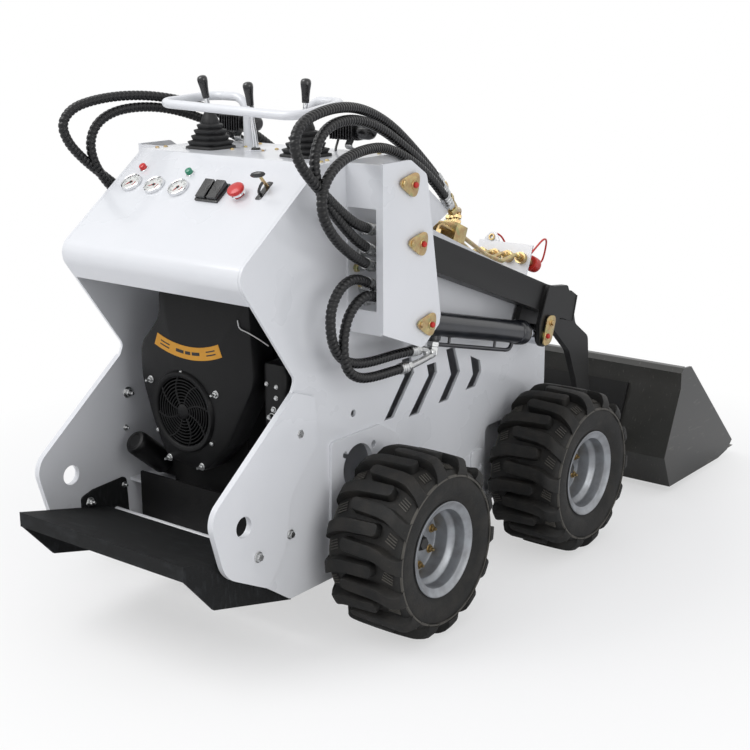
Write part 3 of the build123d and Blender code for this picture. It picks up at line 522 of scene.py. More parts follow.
def tube(path, radius, side=LEFTWARD, sides=16, finish=0, ends=True):
    """A round section carried along a path; its frame keeps one direction square to a given side."""
    path = np.asarray(path, float)
    ahead = unit(np.gradient(path, axis=0))
    first = unit(np.cross(np.asarray(side, float), ahead))
    ring = circle(1, sides) @ np.stack([first, np.cross(ahead, first)], axis=1)
    grid = path[:, None] + np.broadcast_to(radius, len(path))[:, None, None] * ring
    if ends:
        tips = [np.repeat(path[at, None], sides, 1) for at in (slice(0, 1), slice(-1, None))]
        grid = np.concatenate([tips[0], grid, tips[1]])
    return skin(grid, True, finish)


def bowed(points, steps=14):
    """A smooth path by Catmull and Rom's rule: cubic runs with slopes taken from the points beside them."""
    p = np.asarray(points, float)
    p = np.concatenate([2 * p[:1] - p[1:2], p, 2 * p[-1:] - p[-2:-1]])
    t = np.linspace(0, 1, steps, endpoint=False)[:, None, None]
    a, b, c, d = p[:-3], p[1:-2], p[2:-1], p[3:]
    run = 0.5 * (2 * b + (c - a) * t + (2 * a - 5 * b + 4 * c - d) * t**2 + (3 * b - a - 3 * c + d) * t**3)
    return np.concatenate([run.transpose(1, 0, 2).reshape(-1, 3), p[-2:-1]])


def box(x, y, z, edge=1.0):
    """A block from its ranges, its edges rounded."""
    outline = rounded([(x[0], y[0]), (x[1], y[0]), (x[1], y[1]), (x[0], y[1])], edge * 1.5, 3)
    return plate(outline, *z, (0, 0, 0), FORWARD, LEFTWARD, min(edge, (z[1] - z[0]) * 0.4))


def at_x(x, flat):
    """Flat points, which give Y and Z, at a place or places along X."""
    return np.concatenate([np.broadcast_to(x, flat.shape[:-1])[..., None], flat], axis=-1)


engine_black = plain(
    "blower_black", (9,), (9, 9, 10), (15, 15, 16), ((240,), 0.2, 0.36), ((240,), 0.0005, 0.4),
    Specular_IOR_Level=0.25,
)
cast_black = plain(
    "cast_engine", (14,), (10, 10, 11), (19, 19, 19), ((300,), 0.2, 0.5), ((300,), 0.0008, 0.6), (0.4, 0.7),
    Specular_IOR_Level=0.25,
)
cast_black.on("engine")
# An upright black plate under the engine: painted shade, a dark sheet where the bay lies in shadow.
make("bay_shade_plate", [box((-254, -246), (-268, 244), (141, 335))], [cast_black])

BLOWER_FACE = -280
BLOWER_DEPTH = 78
BLOWER_LINE = (
    (120, 846), (124, 765), (193, 690), (193, 600), (157, 490), (112, 404), (-20, 392), (-98, 470),
    (-190, 640), (-182, 846),
)
FAN = (45, 538)
FAN_RADIUS = 90
BLADES = 16
GUARD_ARMS = 8
blower_outline = rounded(BLOWER_LINE, 26, 8)
opening = polar(FAN_RADIUS, np.arctan2(*(blower_outline - FAN).T[::-1]), FAN)
skins = [plate(blower_outline, 0, BLOWER_DEPTH, (BLOWER_FACE, 0, 0), LEFTWARD, UPWARD, 9.0, 0, opening)]
fan_at = (BLOWER_FACE, *FAN)
fan_lip = [(FAN_RADIUS + wide, rise) for wide, rise in ((-2, -6), (-2, 5), (2, 8), (9, 8), (14, 1), (14, -4))]
skins.append(lathe(fan_lip, fan_at, BACKWARD, 64))
fan_wall = [(FAN_RADIUS + 2, -60), (0, -60), (0, -58), (FAN_RADIUS + 2, -58)]
skins.append(lathe(fan_wall, fan_at, BACKWARD, 48))
for radius in range(24, FAN_RADIUS, 8):
    ring = [(radius + w, h) for w, h in ((-1.7, 0), (-1.7, 3), (-1, 4), (1, 4), (1.7, 3), (1.7, 0), (-1.7, 0))]
    skins.append(lathe(ring, fan_at, BACKWARD, 56))
skins.append(lathe([(0, -2), (19, -2), (19, 4), (14, 7), (0, 8)], fan_at, BACKWARD))
for index in range(GUARD_ARMS):
    reach = np.linspace(14, FAN_RADIUS, 12)
    sweep = 2 * math.pi * index / GUARD_ARMS + 0.2 + 0.45 * (reach / FAN_RADIUS) ** 2
    skins.append(tube(at_x(BLOWER_FACE - 1.5, polar(reach, sweep, FAN)), 2.6, FORWARD, 6))
for index in range(BLADES):
    reach = np.linspace(20, FAN_RADIUS - 6, 8)
    wide = np.linspace(-1, 1, 5)
    blade = 2 * math.pi * index / BLADES + 0.5 * (reach / FAN_RADIUS)[:, None] + 0.09 * wide
    face = at_x(BLOWER_FACE + 34 + 20 * wide, polar(reach[:, None], blade, FAN))
    skins.append(skin(np.concatenate([face, face[:, ::-1] + (1.2, 0, 0)], axis=1)))
make("blower_housing", skins, [engine_black], replaces=["engine_blower"], sharp=40)

skins = []
for y, z in ((158, 602), (-66, 601), (102, 408), (-10, 406)):
    skins += bolt((BLOWER_FACE, y, z), BACKWARD, 7, stud=9)
for y, z in ((48, 637), (139, 474), (-48, 473)):
    skins += screw((BLOWER_FACE - 1, y, z), BACKWARD, 6)
make("blower_bolts", skins, [bright_zinc])

name_yellow = plain("plate_yellow", (60,), (204, 140, 20), (218, 156, 32), Roughness=0.4)
mark_black = plain("mark_black", (80,), (14, 14, 14), (26, 26, 26), Roughness=0.45)
ARC_CENTRE = (23, 976)
ARC_IN = 270
ARC_OUT = 302
ARC_HALF = 0.39


def on_arc(inner, outer, start, end, lift, steps, finish=0):
    """A thin plate bent along a circle: four edges of its section carried from one angle to another."""
    turn = np.linspace(start, end, steps) - math.pi / 2
    edges = [(inner, 0.0), (outer, 0.0), (outer, 1.0), (inner, 1.0)]
    face = BLOWER_FACE - lift + 0.8
    grid = np.stack([at_x(face - high, polar(r, turn, ARC_CENTRE)) for r, high in edges], axis=1)
    middle = grid.mean(axis=1, keepdims=True).repeat(4, 1)
    return skin(np.concatenate([middle[:1], grid, middle[-1:]]), True, finish)


skins = [on_arc(ARC_IN, ARC_OUT, -ARC_HALF, ARC_HALF, 0.6, 28)]
for side in SIDES:
    for low in (ARC_IN + 10, ARC_IN + 19):
        skins.append(on_arc(low, low + 3, *sorted((side * 0.22, side * 0.33)), 1.1, 10, 1))
for start, end in ((-0.14, -0.05), (-0.03, 0.03), (0.05, 0.14)):
    skins.append(on_arc(ARC_IN + 12, ARC_IN + 20, start, end, 1.1, 8, 1))
make("engine_arc_plate", skins, [name_yellow, mark_black])

FILTER_ENDS = ((-200, 208, 352), (-292, 218, 432))
axis = np.subtract(FILTER_ENDS[1], FILTER_ENDS[0])
long = np.linalg.norm(axis)
can = [(0, 0), (30, 0), (32, 4), (32, long - 16), (31, long - 8), (27, long - 2), (20, long), (18, long - 1.5)]
can.append((0, long - 1.5))
make("oil_filter_can", [lathe(can, FILTER_ENDS[0], axis, 40)], [engine_black],
     replaces=["oil_filter"])

SPRING_AT = (-236, 572)
CABLE = ((-284, -150, 796), (-285, -157, 778), (-285, -182, 771), (-280, -211, 759), (-268, -231, 743))
skins = [box((-262, -120), (-272, -204), (520, 700), 8)]
skins.append(tube(bowed(CABLE, 8), 1.6, FORWARD, 8, 1))
for y, z, size in ((-217, 649, 4), (-247, 646, 4), (-246, 619, 4.5), (-238, 590, 5.5), (-222, 568, 4.5)):
    skins += bolt((-263, y, z), BACKWARD, size, 1)
skins.append(tube(at_x(-268, polar(9, np.linspace(0, 2 * math.pi, 30), SPRING_AT)), 1.5, FORWARD, 8, 1))
make("carburettor_side", skins, [engine_black, bright_zinc])


# Console controls
# Three chrome-rimmed gauges, two signal lamps, a pair of rocker switches, a red stop knob and the choke
# lever sit on the sloping panel, each pushed through its own hole and held by a nut behind.
SLOPE = math.atan2(218, 293)
PANEL_TOP_X = -147
PANEL_UP = np.array([math.cos(SLOPE), 0, math.sin(SLOPE)])
PANEL_OUT = np.array([-math.sin(SLOPE), 0, math.cos(SLOPE)])
PANEL_RIGHT = np.array([0, -1.0, 0])


def panel_place(down, y):
    """A point on the panel: so far down from the deck's edge, and at that Y."""
    return np.array([PANEL_TOP_X, y, DECK_Z]) - PANEL_UP * down


def panel_plate(outline, low, high, centre, edge, finish=0):
    """A plate that lies on the panel."""
    return plate(outline, low, high, centre, PANEL_RIGHT, PANEL_UP, edge, finish)


chrome = plain("chrome", (50,), (214, 215, 217), (236, 237, 238), ((300,), 0.1, 0.06, 0.3, 0.8), Metallic=1.0)
dial_white = plain(
    "dial_white", (200,), (214, 216, 212), (226, 227, 223), Coat_Weight=0.8, Coat_Roughness=0.04, Roughness=0.5
)
needle_red = plain("needle_red", (100,), (178, 30, 24), (196, 40, 30), Roughness=0.4)
BEZEL = ((0, 0), (27, 0), (27.5, 3), (27.3, 7), (26, 9), (24.4, 9.6), (23.2, 9), (22.4, 6.5), (22.2, 4.8))
DIAL_MARKS = 24
skins = []
for y, pointer in ((229, 3.9), (149, 3.6), (67, 4.3)):
    centre = panel_place(123, y)
    skins.append(lathe(BEZEL, centre, PANEL_OUT, 56))
    skins.append(lathe([(22.3, 4.6), (22.3, 5.2), (0, 5.2)], centre, PANEL_OUT, 40, 1))
    for index in range(DIAL_MARKS + 1):
        spoke = polar(1, math.radians(225 - 270 * index / DIAL_MARKS)) @ (PANEL_RIGHT, PANEL_UP)
        start, width = (17.6, 0.35) if index % 4 else (14.8, 0.6)
        mark = centre + PANEL_OUT * 5.2
        skins.append(tube((mark + spoke * start, mark + spoke * 20.4), width, PANEL_OUT, 4, 2))
    spoke = polar(1, pointer) @ (PANEL_RIGHT, PANEL_UP)
    needle = centre + PANEL_OUT * 6.4 + np.outer((-5, 5, 16), spoke)
    skins.append(tube(needle, (1.3, 1.1, 0.3), PANEL_OUT, 6, 3))
    skins.append(lathe([(3.4, 5), (3.4, 7.4), (2.2, 8.2), (0, 8.4)], centre, PANEL_OUT, 20, 2))
    band = polar(13, np.linspace(math.radians(-45), math.radians(15), 12)) @ (PANEL_RIGHT, PANEL_UP)
    skins.append(tube(centre + PANEL_OUT * 5.3 + band, 0.8, PANEL_OUT, 6, 3))
finishes = [chrome, dial_white, mark_black, needle_red]
make("gauge_dials", skins, finishes, replaces=["gauges"])

knob_black = plain(
    "knob_black", (40,), (13, 13, 14), (22, 22, 24), ((200,), 0.15, 0.18), Coat_Weight=0.5, Coat_Roughness=0.05
)
stop_red = plain("stop_red", (30,), (190, 26, 26), (206, 34, 32), ((150,), 0.15, 0.25), Coat_Weight=0.3)
lens_green = plain("lens_green", (60,), (8, 118, 88), (18, 138, 104), ((150,), 0.15, 0.2), Coat_Weight=0.6)

skins = []
for y, lamp in ((229, 1), (69, 2)):
    centre = panel_place(70, y)
    skins.append(lathe([(0, 0), (11, 0), (11, 1.5), (9.4, 2.6)], centre, PANEL_OUT, 28, 3))
    skins.append(lathe([(9.2, 1), (9.2, 10), (8.4, 12.6), (6.4, 14), (0, 14.4)], centre, PANEL_OUT, 14, lamp))
ROCKER_HALF = 26
centre = panel_place(124, -48)
skins.append(panel_plate(oblong(37, 31, 4), 0, 5, centre, 1.2))
for shift in (-18, 18):
    points, quads, numbers = panel_plate(oblong(15, ROCKER_HALF, 2), 2, 12, centre + PANEL_RIGHT * shift, 1.2)
    along = (points - centre) @ PANEL_UP / ROCKER_HALF
    raised = np.where((points - centre) @ PANEL_OUT > 6, 7 * along**2 + 3.5 * along - 2, 0)
    skins.append((points + np.outer(raised, PANEL_OUT), quads, numbers))
    dot_at = centre + PANEL_RIGHT * shift + PANEL_UP * 15
    skins.append(lathe([(3, 13.2), (3, 14), (0, 14)], dot_at, PANEL_OUT, 12, 4))
centre = panel_place(122, -130)
skins.append(lathe([(0, 0), (17, 0), (17, 3), (14, 4.5), (12.5, 12)], centre, PANEL_OUT, 32, 3))
MUSHROOM = ((12, 8), (13, 12), (19.5, 14), (21.3, 17), (21.4, 20), (19.5, 23.5), (14, 26), (7, 27), (0, 27.2))
skins.append(lathe(MUSHROOM, centre, PANEL_OUT, 40, 1))
centre = panel_place(100, -192)
skins.append(panel_plate(oblong(9, 30, 6), 0, 1.2, centre, 0.4))
stem = rounded([(-6, 0), (6, 0), (4.5, 40), (-4.5, 40)], 2)
lift = unit(PANEL_OUT * 0.9 - PANEL_UP * 0.1)
skins.append(plate(stem, -1.5, 1.5, centre + PANEL_UP * 14, PANEL_RIGHT, lift, 0.5, 5))
grip_line = np.linspace(-19, 19, 15)
grip = centre + PANEL_UP * 12 + lift * 44 + grip_line[:, None] * unit(PANEL_RIGHT + PANEL_UP * 0.25)
skins.append(tube(grip, 6.8 * np.sqrt(1 - (grip_line / 19.6) ** 2) + 0.6, PANEL_OUT, 20))
HOOK = ((0, -12, 0), (0, -14, 10), (6, -6, 22), (14, 0, 30))
skins.append(tube(bowed(centre + np.array(HOOK) @ (PANEL_RIGHT, PANEL_UP, lift)), 3.4, PANEL_UP, 10))
finishes = [knob_black, stop_red, lens_green, chrome, dial_white, gold_zinc]
make("panel_controls", skins, finishes, replaces=["panel_switches"])


# Levers and boots
# Two drive levers rise through square rubber bellows, with the loader lever between them on its own plate.
# Each has a bright steel stem and a black tapered grip with a domed top.
boot_rubber = plain(
    "boot_rubber", (30,), (20, 20, 21), (30, 30, 31), ((120,), 0.2, 0.42), ((700,), 0.0003, 0.3)
)
PLEATS = (
    (0, 50, 6), (4, 50, 6), (6, 49, 6), (8, 43, 5), (13, 45.5, 5), (16, 47, 5), (18, 46.6, 5), (21, 37.5, 4),
    (26, 39.5, 4), (30, 41, 4), (32, 40.6, 4), (35, 32, 3.4), (40, 34.5, 3.4), (44, 36, 3.4), (46, 35.6, 3.4),
    (49, 27, 3), (54, 29, 3), (57, 30, 3), (59, 29.6, 3), (62, 21.5, 2.6), (67, 21.5, 2.5), (78, 18, 2.3),
    (89, 13.5, 2), (93, 12.6, 2), (93, 7, 2),
)
DRIVE_X = -40
DRIVE_Y = 158
skins = []
angle = 2 * math.pi * np.arange(56) / 56
for y in (-DRIVE_Y, DRIVE_Y):
    rise, half, power = np.array(PLEATS, float).T[:, :, None]
    reach = half / (np.abs(np.cos(angle)) ** power + np.abs(np.sin(angle)) ** power) ** (1 / power)
    flat = polar(reach, angle, (DRIVE_X, y))
    skins.append(skin(np.concatenate([flat, (DECK_Z + rise + 0 * reach)[..., None]], axis=-1)))
make("lever_bellows", skins, [boot_rubber], replaces=["lever_boots"], sharp=50)

GRIP = (
    (0, 0), (8.2, 0), (8.8, 1.5), (9.4, 14), (10.6, 28), (12.4, 40), (13, 46), (12.4, 51), (9.8, 55), (5, 57),
    (0, 57.4),
)
LOADER_AT = (-24, 18, DECK_Z)
skins = []
for y, top_x in ((-DRIVE_Y, -38), (DRIVE_Y, -50)):
    base, top = (DRIVE_X, y, 1240), (top_x, y, 1279)
    lean = np.subtract(top, base)
    skins.append(lathe(drum(0, 42, 6), base, lean, 20))
    skins.append(lathe(GRIP, top, lean, 32, 1))
loader_base, loader_top = np.add(LOADER_AT, (0, 0, 6.0)), np.add(LOADER_AT, (-16, 0, 112.0))
lean = unit(loader_top - loader_base)
for shift in (-5, 5):
    path = (loader_base + (0, shift, -4), loader_base + lean * 40 + (0, shift * 0.8, 0), loader_top - lean * 6)
    skins.append(tube(path, 4.2, LEFTWARD, 14))
skins.append(lathe([(0, -8), (9, -8), (9, 0), (0, 0)], loader_top, lean, 6))
skins.append(lathe(GRIP, loader_top, lean, 32, 1))
octagon = circle(31, 8, turn=math.pi / 8) * (1, 0.64)
skins.append(plate(octagon, 0, 3, LOADER_AT, FORWARD, LEFTWARD, 0.6, 2))
skins.append(lathe([(0, 3), (12, 3), (11, 8), (6, 10), (0, 10)], LOADER_AT, UPWARD, 24, 1))
make("hand_levers", skins, [chrome, knob_black, white_paint], replaces=["control_levers"])


# Work lamps
# Two small flood lamps look forward over the hood. Each is a black finned casting with a round end, on a
# bent zinc strip, with a short lead into the deck.
lens_clear = plain(
    "lens_clear", (90,), (178, 190, 200), (214, 222, 228), ((300,), 0.1, 0.08),
    Coat_Weight=1.0, Coat_Roughness=0.03,
)
LAMP_DOME = ((0, -48), (12, -47), (18, -42), (21, -33), (21.5, -14), (19, 0), (0, 2))
LAMP_LENS = ((0, 0), (15, 0), (15, 3), (13, 5), (0, 5))
LAMP_LEAD = ((100, 26, 1183), (96, 27, 1172), (90, 26, 1162), (86, 24, 1152))
LAMP_STRIP = ((112, -4, 1184), (106, -4, 1176), (101, -4, 1168), (106, -4, 1160), (120, -4, 1155.4))
skins = []
strips = []
for y in (204, -170):
    skins.append(box((97, 128), (y - 38, y + 38), (1181, 1229), 5))
    for fin in np.arange(9) * 8.5 + y - 34:
        skins.append(box((76, 99), (fin - 1.6, fin + 1.6), (1184, 1226), 0.7))
    skins.append(lathe(LAMP_DOME, (104, y - 36, 1206), LEFTWARD, 36, 1))
    for shift in (-19, 19):
        skins.append(lathe(LAMP_LENS, (128, y + shift, 1205), FORWARD, 28, 2))
    skins.append(tube(bowed(np.add(LAMP_LEAD, (0, y, 0)), 6), 3.2, LEFTWARD, 10))
    width = np.linspace(-11, 11, 3)
    strip = bowed(np.add(LAMP_STRIP, (0, y, 0)), 6)[:, None] + width[:, None] * LEFTWARD
    strips.append(skin(np.concatenate([strip, strip[:, ::-1] + (2.4, 0, 1.2)], axis=1)))
    strips += bolt((118, y - 4, 1156.5), UPWARD, 5)
make("flood_lamps", skins, [knob_black, knob_black, lens_clear], replaces=["work_lamps"])
make("lamp_strips", strips, [bright_zinc], replaces=["lamp_brackets"])


# Tower pins
# The arm's pivot and the cylinder's base pin cross each tower, under a third pin that carries nothing here.
# A rounded yellow zinc keeper holds each pin's end, bolted beside it, with a red cap over the grease nipple.
cap_red = plain("cap_red", (60,), (186, 34, 28), (204, 50, 40), ((200,), 0.2, 0.3))
TOWER_OUT = 404
BASE_PIN = (124, 746)
TOWER_PINS = ((54, 1095), (88, 950), BASE_PIN)
TRIANGLE = ((-70, 13), (26, 35), (9, -40))
PIN_RING = ((12.4, 0), (12.4, 1.2), (11.6, 1.8), (8.6, 1.8), (8.2, 0.6), (0, 0.6))
PIN_CAP = ((0, 0.5), (6.8, 0.5), (7.2, 2), (7, 5), (5.6, 7.2), (3, 8.2), (0, 8.4))


def keeper(at, y, corners, round_by, bolt_at, side):
    """A keeper plate over a pin, with its bolt and the ring and red cap on the pin's end."""
    low = min(0, -5 * side)
    out = (0, side, 0)
    face = (at[0], side * (y + 5), at[1])
    return [
        plate(rounded(corners, round_by, 8), low, low + 5, (at[0], side * y, at[1])),
        lathe(PIN_RING, face, out, 36),
        lathe(PIN_CAP, face, out, 20, 1),
        *bolt(np.add(face, (bolt_at[0], 0, bolt_at[1])), out, 7.6),
    ]


skins = []
for side in SIDES:
    for pin in TOWER_PINS:
        skins += keeper(pin, TOWER_OUT + 4, TRIANGLE, 36, (-44, 8), side)
make("tower_keepers", skins, [gold_zinc, cap_red], replaces=["pin_keepers"])
gold_zinc.on("tower_pins")


# Tyres
# Pneumatic loader tyres: a smooth carcass with fourteen wide lugs in each of two rows, which mesh half a pitch
# apart. Four short ribs mark each groove at the shoulder, and a raised line guards the rim. Ribs and line are
# painted a lighter grey: a painted highlight for the glints these small ridges catch.
tyre_rubber = Finish("tyre_rubber", Specular_IOR_Level=0.35)
smear = tyre_rubber.noise(22.0, 5.0)
grime = tyre_rubber.noise(150.0, 4.0)
tread = tyre_rubber.mix(smear.step(0.42, 0.68), colour(20, 20, 19), colour(36, 34, 31))
tyre_rubber.feed(Base_Color=tyre_rubber.mix(grime.step(0.58, 0.78) * 0.6, tread, colour(54, 50, 45)))
tyre_rubber.feed(Roughness=grime * 0.25 + 0.5)
tyre_rubber.bump(grime * 0.6 + tyre_rubber.noise(900.0) * 0.4, 0.0008, 0.5)
# A lighter grey rubber for the ribs and the rim guard line: painted highlight, in place of the glints on them.
painted_glint_rubber = plain(
    "painted_glint_rubber", (40,), (62, 60, 56), (92, 89, 83), ((300,), 0.2, 0.5), Specular_IOR_Level=0.35
)

WHEELBASE = 704
TYRE_RADIUS = 228.5
TYRE_MIDDLE = 445
LUGS_PER_ROW = 14
PITCH = 2 * math.pi / LUGS_PER_ROW
WHEELS = []
for place, x in (("rear", 0), ("front", WHEELBASE)):
    for hand, side in (("right", -1), ("left", 1)):
        WHEELS.append((f"{place}_{hand}", side, np.array((x, side * TYRE_MIDDLE, TYRE_RADIUS))))


def on_wheel(radius, out, turn):
    """A wheel's own X, Y and Z: a radius, a distance out from its middle, and a turn from the lowest point."""
    radius, out, turn = np.broadcast_arrays(radius, out, turn)
    return np.stack([radius * np.sin(turn), -out, -radius * np.cos(turn)], axis=-1)


CARCASS = (
    (102, -82), (104, -88), (111, -94), (119, -96), (124, -96), (132, -101), (146, -106), (161, -108),
    (174, -108.4), (182, -107.6), (188, -105.4), (193, -101.6), (196.5, -97), (200, -86), (203, -66),
    (205.4, -40), (207, 0),
)
RIM_GUARD = ((181.5, 107.4), (182.6, 109.8), (186.8, 109.2), (188, 105.2))
half = np.array(CARCASS)
across = np.concatenate([half, half[-2::-1] * (1, -1), ((102, 40), (102, -40))])
around = 2 * math.pi * np.arange(128) / 128
ring_grid = on_wheel(across[:, :1], across[:, 1:], around[None])
tyre_skins = [skin(np.concatenate([ring_grid, ring_grid[:1]]))]
for row in SIDES:
    line_radius, line_out = np.array(RIM_GUARD).T
    line_turn = np.append(around, 2 * math.pi)[:, None] * -row
    # The rim guard line takes the lighter grey, a painted highlight.
    tyre_skins.append(skin(on_wheel(line_radius, row * line_out, line_turn), True, 1))

LUG_HEAD = -50
LUG_LINE = ((LUG_HEAD, -0.012), (0, 0.0), (40, 0.008), (66, 0.03), (86, 0.075), (100, 0.112), (110, 0.14))
LUG_FOOT = ((LUG_HEAD, 203), (60, 201), (96, 192), (103, 187), (107.4, 185), (110, 182))
LUG_END = ((103, 211), (107.4, 205), (109.6, 198), (110, 188))
GROOVE_FLOOR = ((66, 203), (86, 200), (97, 196))
HALF_SECTION = ((-1.3, 0.0), (-1.08, 0.62), (-1.0, 0.9), (-0.93, 0.985), (-0.8, 1.0))
RIBS = 4
section = np.array((*HALF_SECTION, (0, 1.0), *[(-wide, rise) for wide, rise in HALF_SECTION[::-1]]))


def read_off(table, out):
    """A value from a table of distances out from the tyre's middle, straight between its rows."""
    return np.interp(out, *np.array(table).T)


for row in SIDES:
    last_out, last_top = np.array(LUG_END).T
    head_out = np.linspace(LUG_HEAD, LUG_HEAD + 14, 7)
    out = np.concatenate([head_out, np.linspace(LUG_HEAD + 22, 96, 16), last_out])
    top = TYRE_RADIUS - 0.0003 * out**2 - 13.5 * np.clip((np.abs(out) - 76) / 30, 0, 1) ** 2
    top[-4:] = last_top
    head = np.clip((out - LUG_HEAD) / 14, 0, 1)
    wide = (0.070 + 0.008 * np.clip(out / 100, 0, 1)) * np.sqrt(1 - (1 - head) ** 2) + 0.0008
    wide[-3:] = (0.086, 0.096, 0.108)
    low = np.minimum(read_off(LUG_FOOT, out), top - 3)
    turn = read_off(LUG_LINE, out)[:, None] + wide[:, None] * section[:, 0]
    radius = low[:, None] + (top - low)[:, None] * section[:, 1]
    for index in range(LUGS_PER_ROW):
        middle = (index + row * 0.25 - 0.25) * PITCH
        lug = on_wheel(radius, row * out[:, None], turn + middle)
        lug[0] = lug[0].mean(axis=0)
        tyre_skins.append(skin(lug))
        for mark in range(RIBS):
            rib_out = np.array((72 - 2 * mark, 95 - mark))[:, None]
            rib_turn = middle + 0.5 * PITCH + read_off(LUG_LINE, rib_out) - 0.066 + 0.036 * mark
            rib_turn = rib_turn + np.array((-0.008, -0.006, 0.006, 0.008))
            rib_radius = read_off(GROOVE_FLOOR, rib_out) + 0.2 + np.array((-1, 3.4, 3.4, -1))
            # Each rib takes the lighter grey, a painted highlight.
            tyre_skins.append(skin(on_wheel(rib_radius, row * rib_out, rib_turn), True, 1))

for place, side, centre in WHEELS:
    skins = [(points * (1, -side, 1) + centre, quads, numbers) for points, quads, numbers in tyre_skins]
    make(f"tread_tyre_{place}", skins, [tyre_rubber, painted_glint_rubber], f"wheel_{place}",
         [f"tyre_{place}"], 38)


# Wheel rims
# Pressed steel rims in silver paint, with a rolled flange and stepped seats. The dished disc sits near the
# middle, held on the motor's hub by eight brass-coloured nuts.
rim_silver = Finish("rim_silver", Metallic=0.75)
flake = rim_silver.noise(1400.0, 2.0)
haze = rim_silver.noise(26.0, 4.0)
rim_silver.feed(Base_Color=rim_silver.mix(haze.step(0.4, 0.7), colour(158, 161, 165), colour(136, 137, 139)))
rim_silver.feed(Roughness=haze * 0.2 + flake * 0.08 + 0.24)
rim_silver.bump(flake, 0.0002, 0.25)
brass = plain("brass_nut", (120,), (150, 126, 86), (176, 154, 110), ((300,), 0.2, 0.25), Metallic=1.0)
hub_grey = plain("hub_steel", (60,), (52, 52, 53), (88, 87, 85), ((200,), 0.2, 0.4), Metallic=0.8)
RIM_LINE = (
    (103.5, -84), (112, -90), (114, -96), (117, -98.6), (119.6, -97), (119.6, -94), (117, -93),
    (110, -90), (104, -86), (102, -80), (102, -62), (96, -56), (88, -50), (86, -44), (86, -30), (86, 40),
    (88, 46), (98, 54), (102, 60), (102, 86), (106, 91), (114, 94), (118, 95), (119.8, 97), (119.6, 99.4),
    (117.6, 100), (114.6, 98.4), (111, 95), (104, 93.5), (98.6, 91), (97, 87), (97, 64), (95.6, 60.5),
    (92, 57.6), (84, 51.6), (82, 48), (82, 18), (80.6, 14.6), (77, 12.8), (70, 12), (44, 12), (37, 13),
    (35, 16), (34.4, 24), (33, 26), (20.5, 26), (20.5, 6), (70, 6), (79, 4), (82, 0), (82, -47),
    (84, -52), (92, -62), (98, -70), (98, -78), (103.5, -84),
)
RIM_NUTS = 8
NUT_PHASE = 12
NUT_CIRCLE = 68
DISC_OUT = 12
for place, side, centre in WHEELS:
    out = np.array((0, side, 0.0))
    skins = [lathe(RIM_LINE, centre, out, 96)]
    skins.append(lathe([(20.6, -50), (40, -50), (40, 8), (20.6, 8), (20.6, -50)], centre, out, 40, 2))
    skins.append(lathe([(20.3, 8), (20.3, 28), (18.6, 30.4), (0, 30.4)], centre, out, 40, 2))
    skins.append(lathe(drum(29, 40.4, 16.6, 1, 1.4), centre, out, 6, 2))
    for x, z in circle(NUT_CIRCLE, RIM_NUTS, turn=math.radians(NUT_PHASE)):
        skins += bolt(centre + (x, side * DISC_OUT, z), out, 8.2, 1, 5)
    make(f"silver_rim_{place}", skins, [rim_silver, brass, hub_grey], f"wheel_{place}",
         [f"rim_{place}"])
engine_black.on("wheel_motors")


# Lift arms
# Each arm is a charcoal box section welded to a leg plate and an outer gusset at its elbow. A beam joins
# the two legs behind the bucket. The rod's pin goes through the gusset under a yellow zinc link.
charcoal = Finish("charcoal_satin", Specular_IOR_Level=0.4)
cloud = charcoal.noise(7.0, 4.0)
scuff = charcoal.noise(90.0, 5.0, (0.4, 1, 2.4))
satin = charcoal.mix(cloud.step(0.35, 0.7), colour(19, 19, 19), colour(26, 26, 25))
charcoal.feed(Base_Color=charcoal.mix(scuff.step(0.68, 0.8) * 0.4, satin, colour(104, 103, 100)))
charcoal.feed(Roughness=cloud * 0.16 + 0.36)
charcoal.bump(charcoal.noise(500.0, 2.0), 0.0004, 0.2)
for name in ("right", "left"):
    softened([f"lift_arm_{name}"], 1.6, charcoal, "arm")
    softened([f"arm_leg_{name}"], 1.8, charcoal, "arm")
softened(["cross_beam"], 2.0, charcoal, "arm")
WELD_RIPPLE = 3.2


def weld(start, end, size, side=LEFTWARD):
    """A weld bead along a straight run: a half-sunk round section whose radius swells in even ripples."""
    start, end = np.asarray(start, float), np.asarray(end, float)
    count = max(6, int(np.linalg.norm(end - start) / WELD_RIPPLE * 2))
    ripple = size * (1 + 0.16 * np.cos(np.arange(count) * math.pi))
    return tube(start + np.linspace(0, 1, count)[:, None] * (end - start), ripple, side, 8)


GUSSET_OUT = 390
ROD_PIN = (695, 604)
TILT_EYE = (960, 0, 700)
skins = []
for side in SIDES:
    for (x1, z1), (x2, z2) in (((714, 743), (668, 640)), ((868, 690), (847, 618))):
        skins.append(weld((x1, side * GUSSET_OUT, z1), (x2, side * GUSSET_OUT, z2), 2.6))
    for z in (600, 680):
        skins.append(weld((878, side * 300, z), (932, side * 300, z), 4))
    skins.append(weld((700, side * 322, 752), (60, side * 322, 1002), 2.2))
make("arm_welds", skins, [charcoal], "arm")

LINK = ((-23, -26), (23, -26), (50, 50), (4, 58))
skins = [lathe(drum(-46, 46, 16, 1.5), TILT_EYE, LEFTWARD, 36)]
for side in SIDES:
    out = (0, side, 0)
    skins += keeper(ROD_PIN, GUSSET_OUT + 4, LINK, 20, (22, 34), side)
    for inner, outer in ((376, 394), (298, 324)):
        skins.append(lathe(drum(0, outer - inner, 16), (ROD_PIN[0], side * inner, ROD_PIN[1]), out, 36))
    skins.append(lathe([(0, 44), (22, 44), (22, 49), (20, 50), (0, 50)], TILT_EYE, out))
    skins.append(lathe([(0, 50), (7, 50), (7, 58), (4, 61), (0, 61)], TILT_EYE, out, 20, 1))
make("arm_links", skins, [gold_zinc, cap_red], "arm", ["arm_pins"])


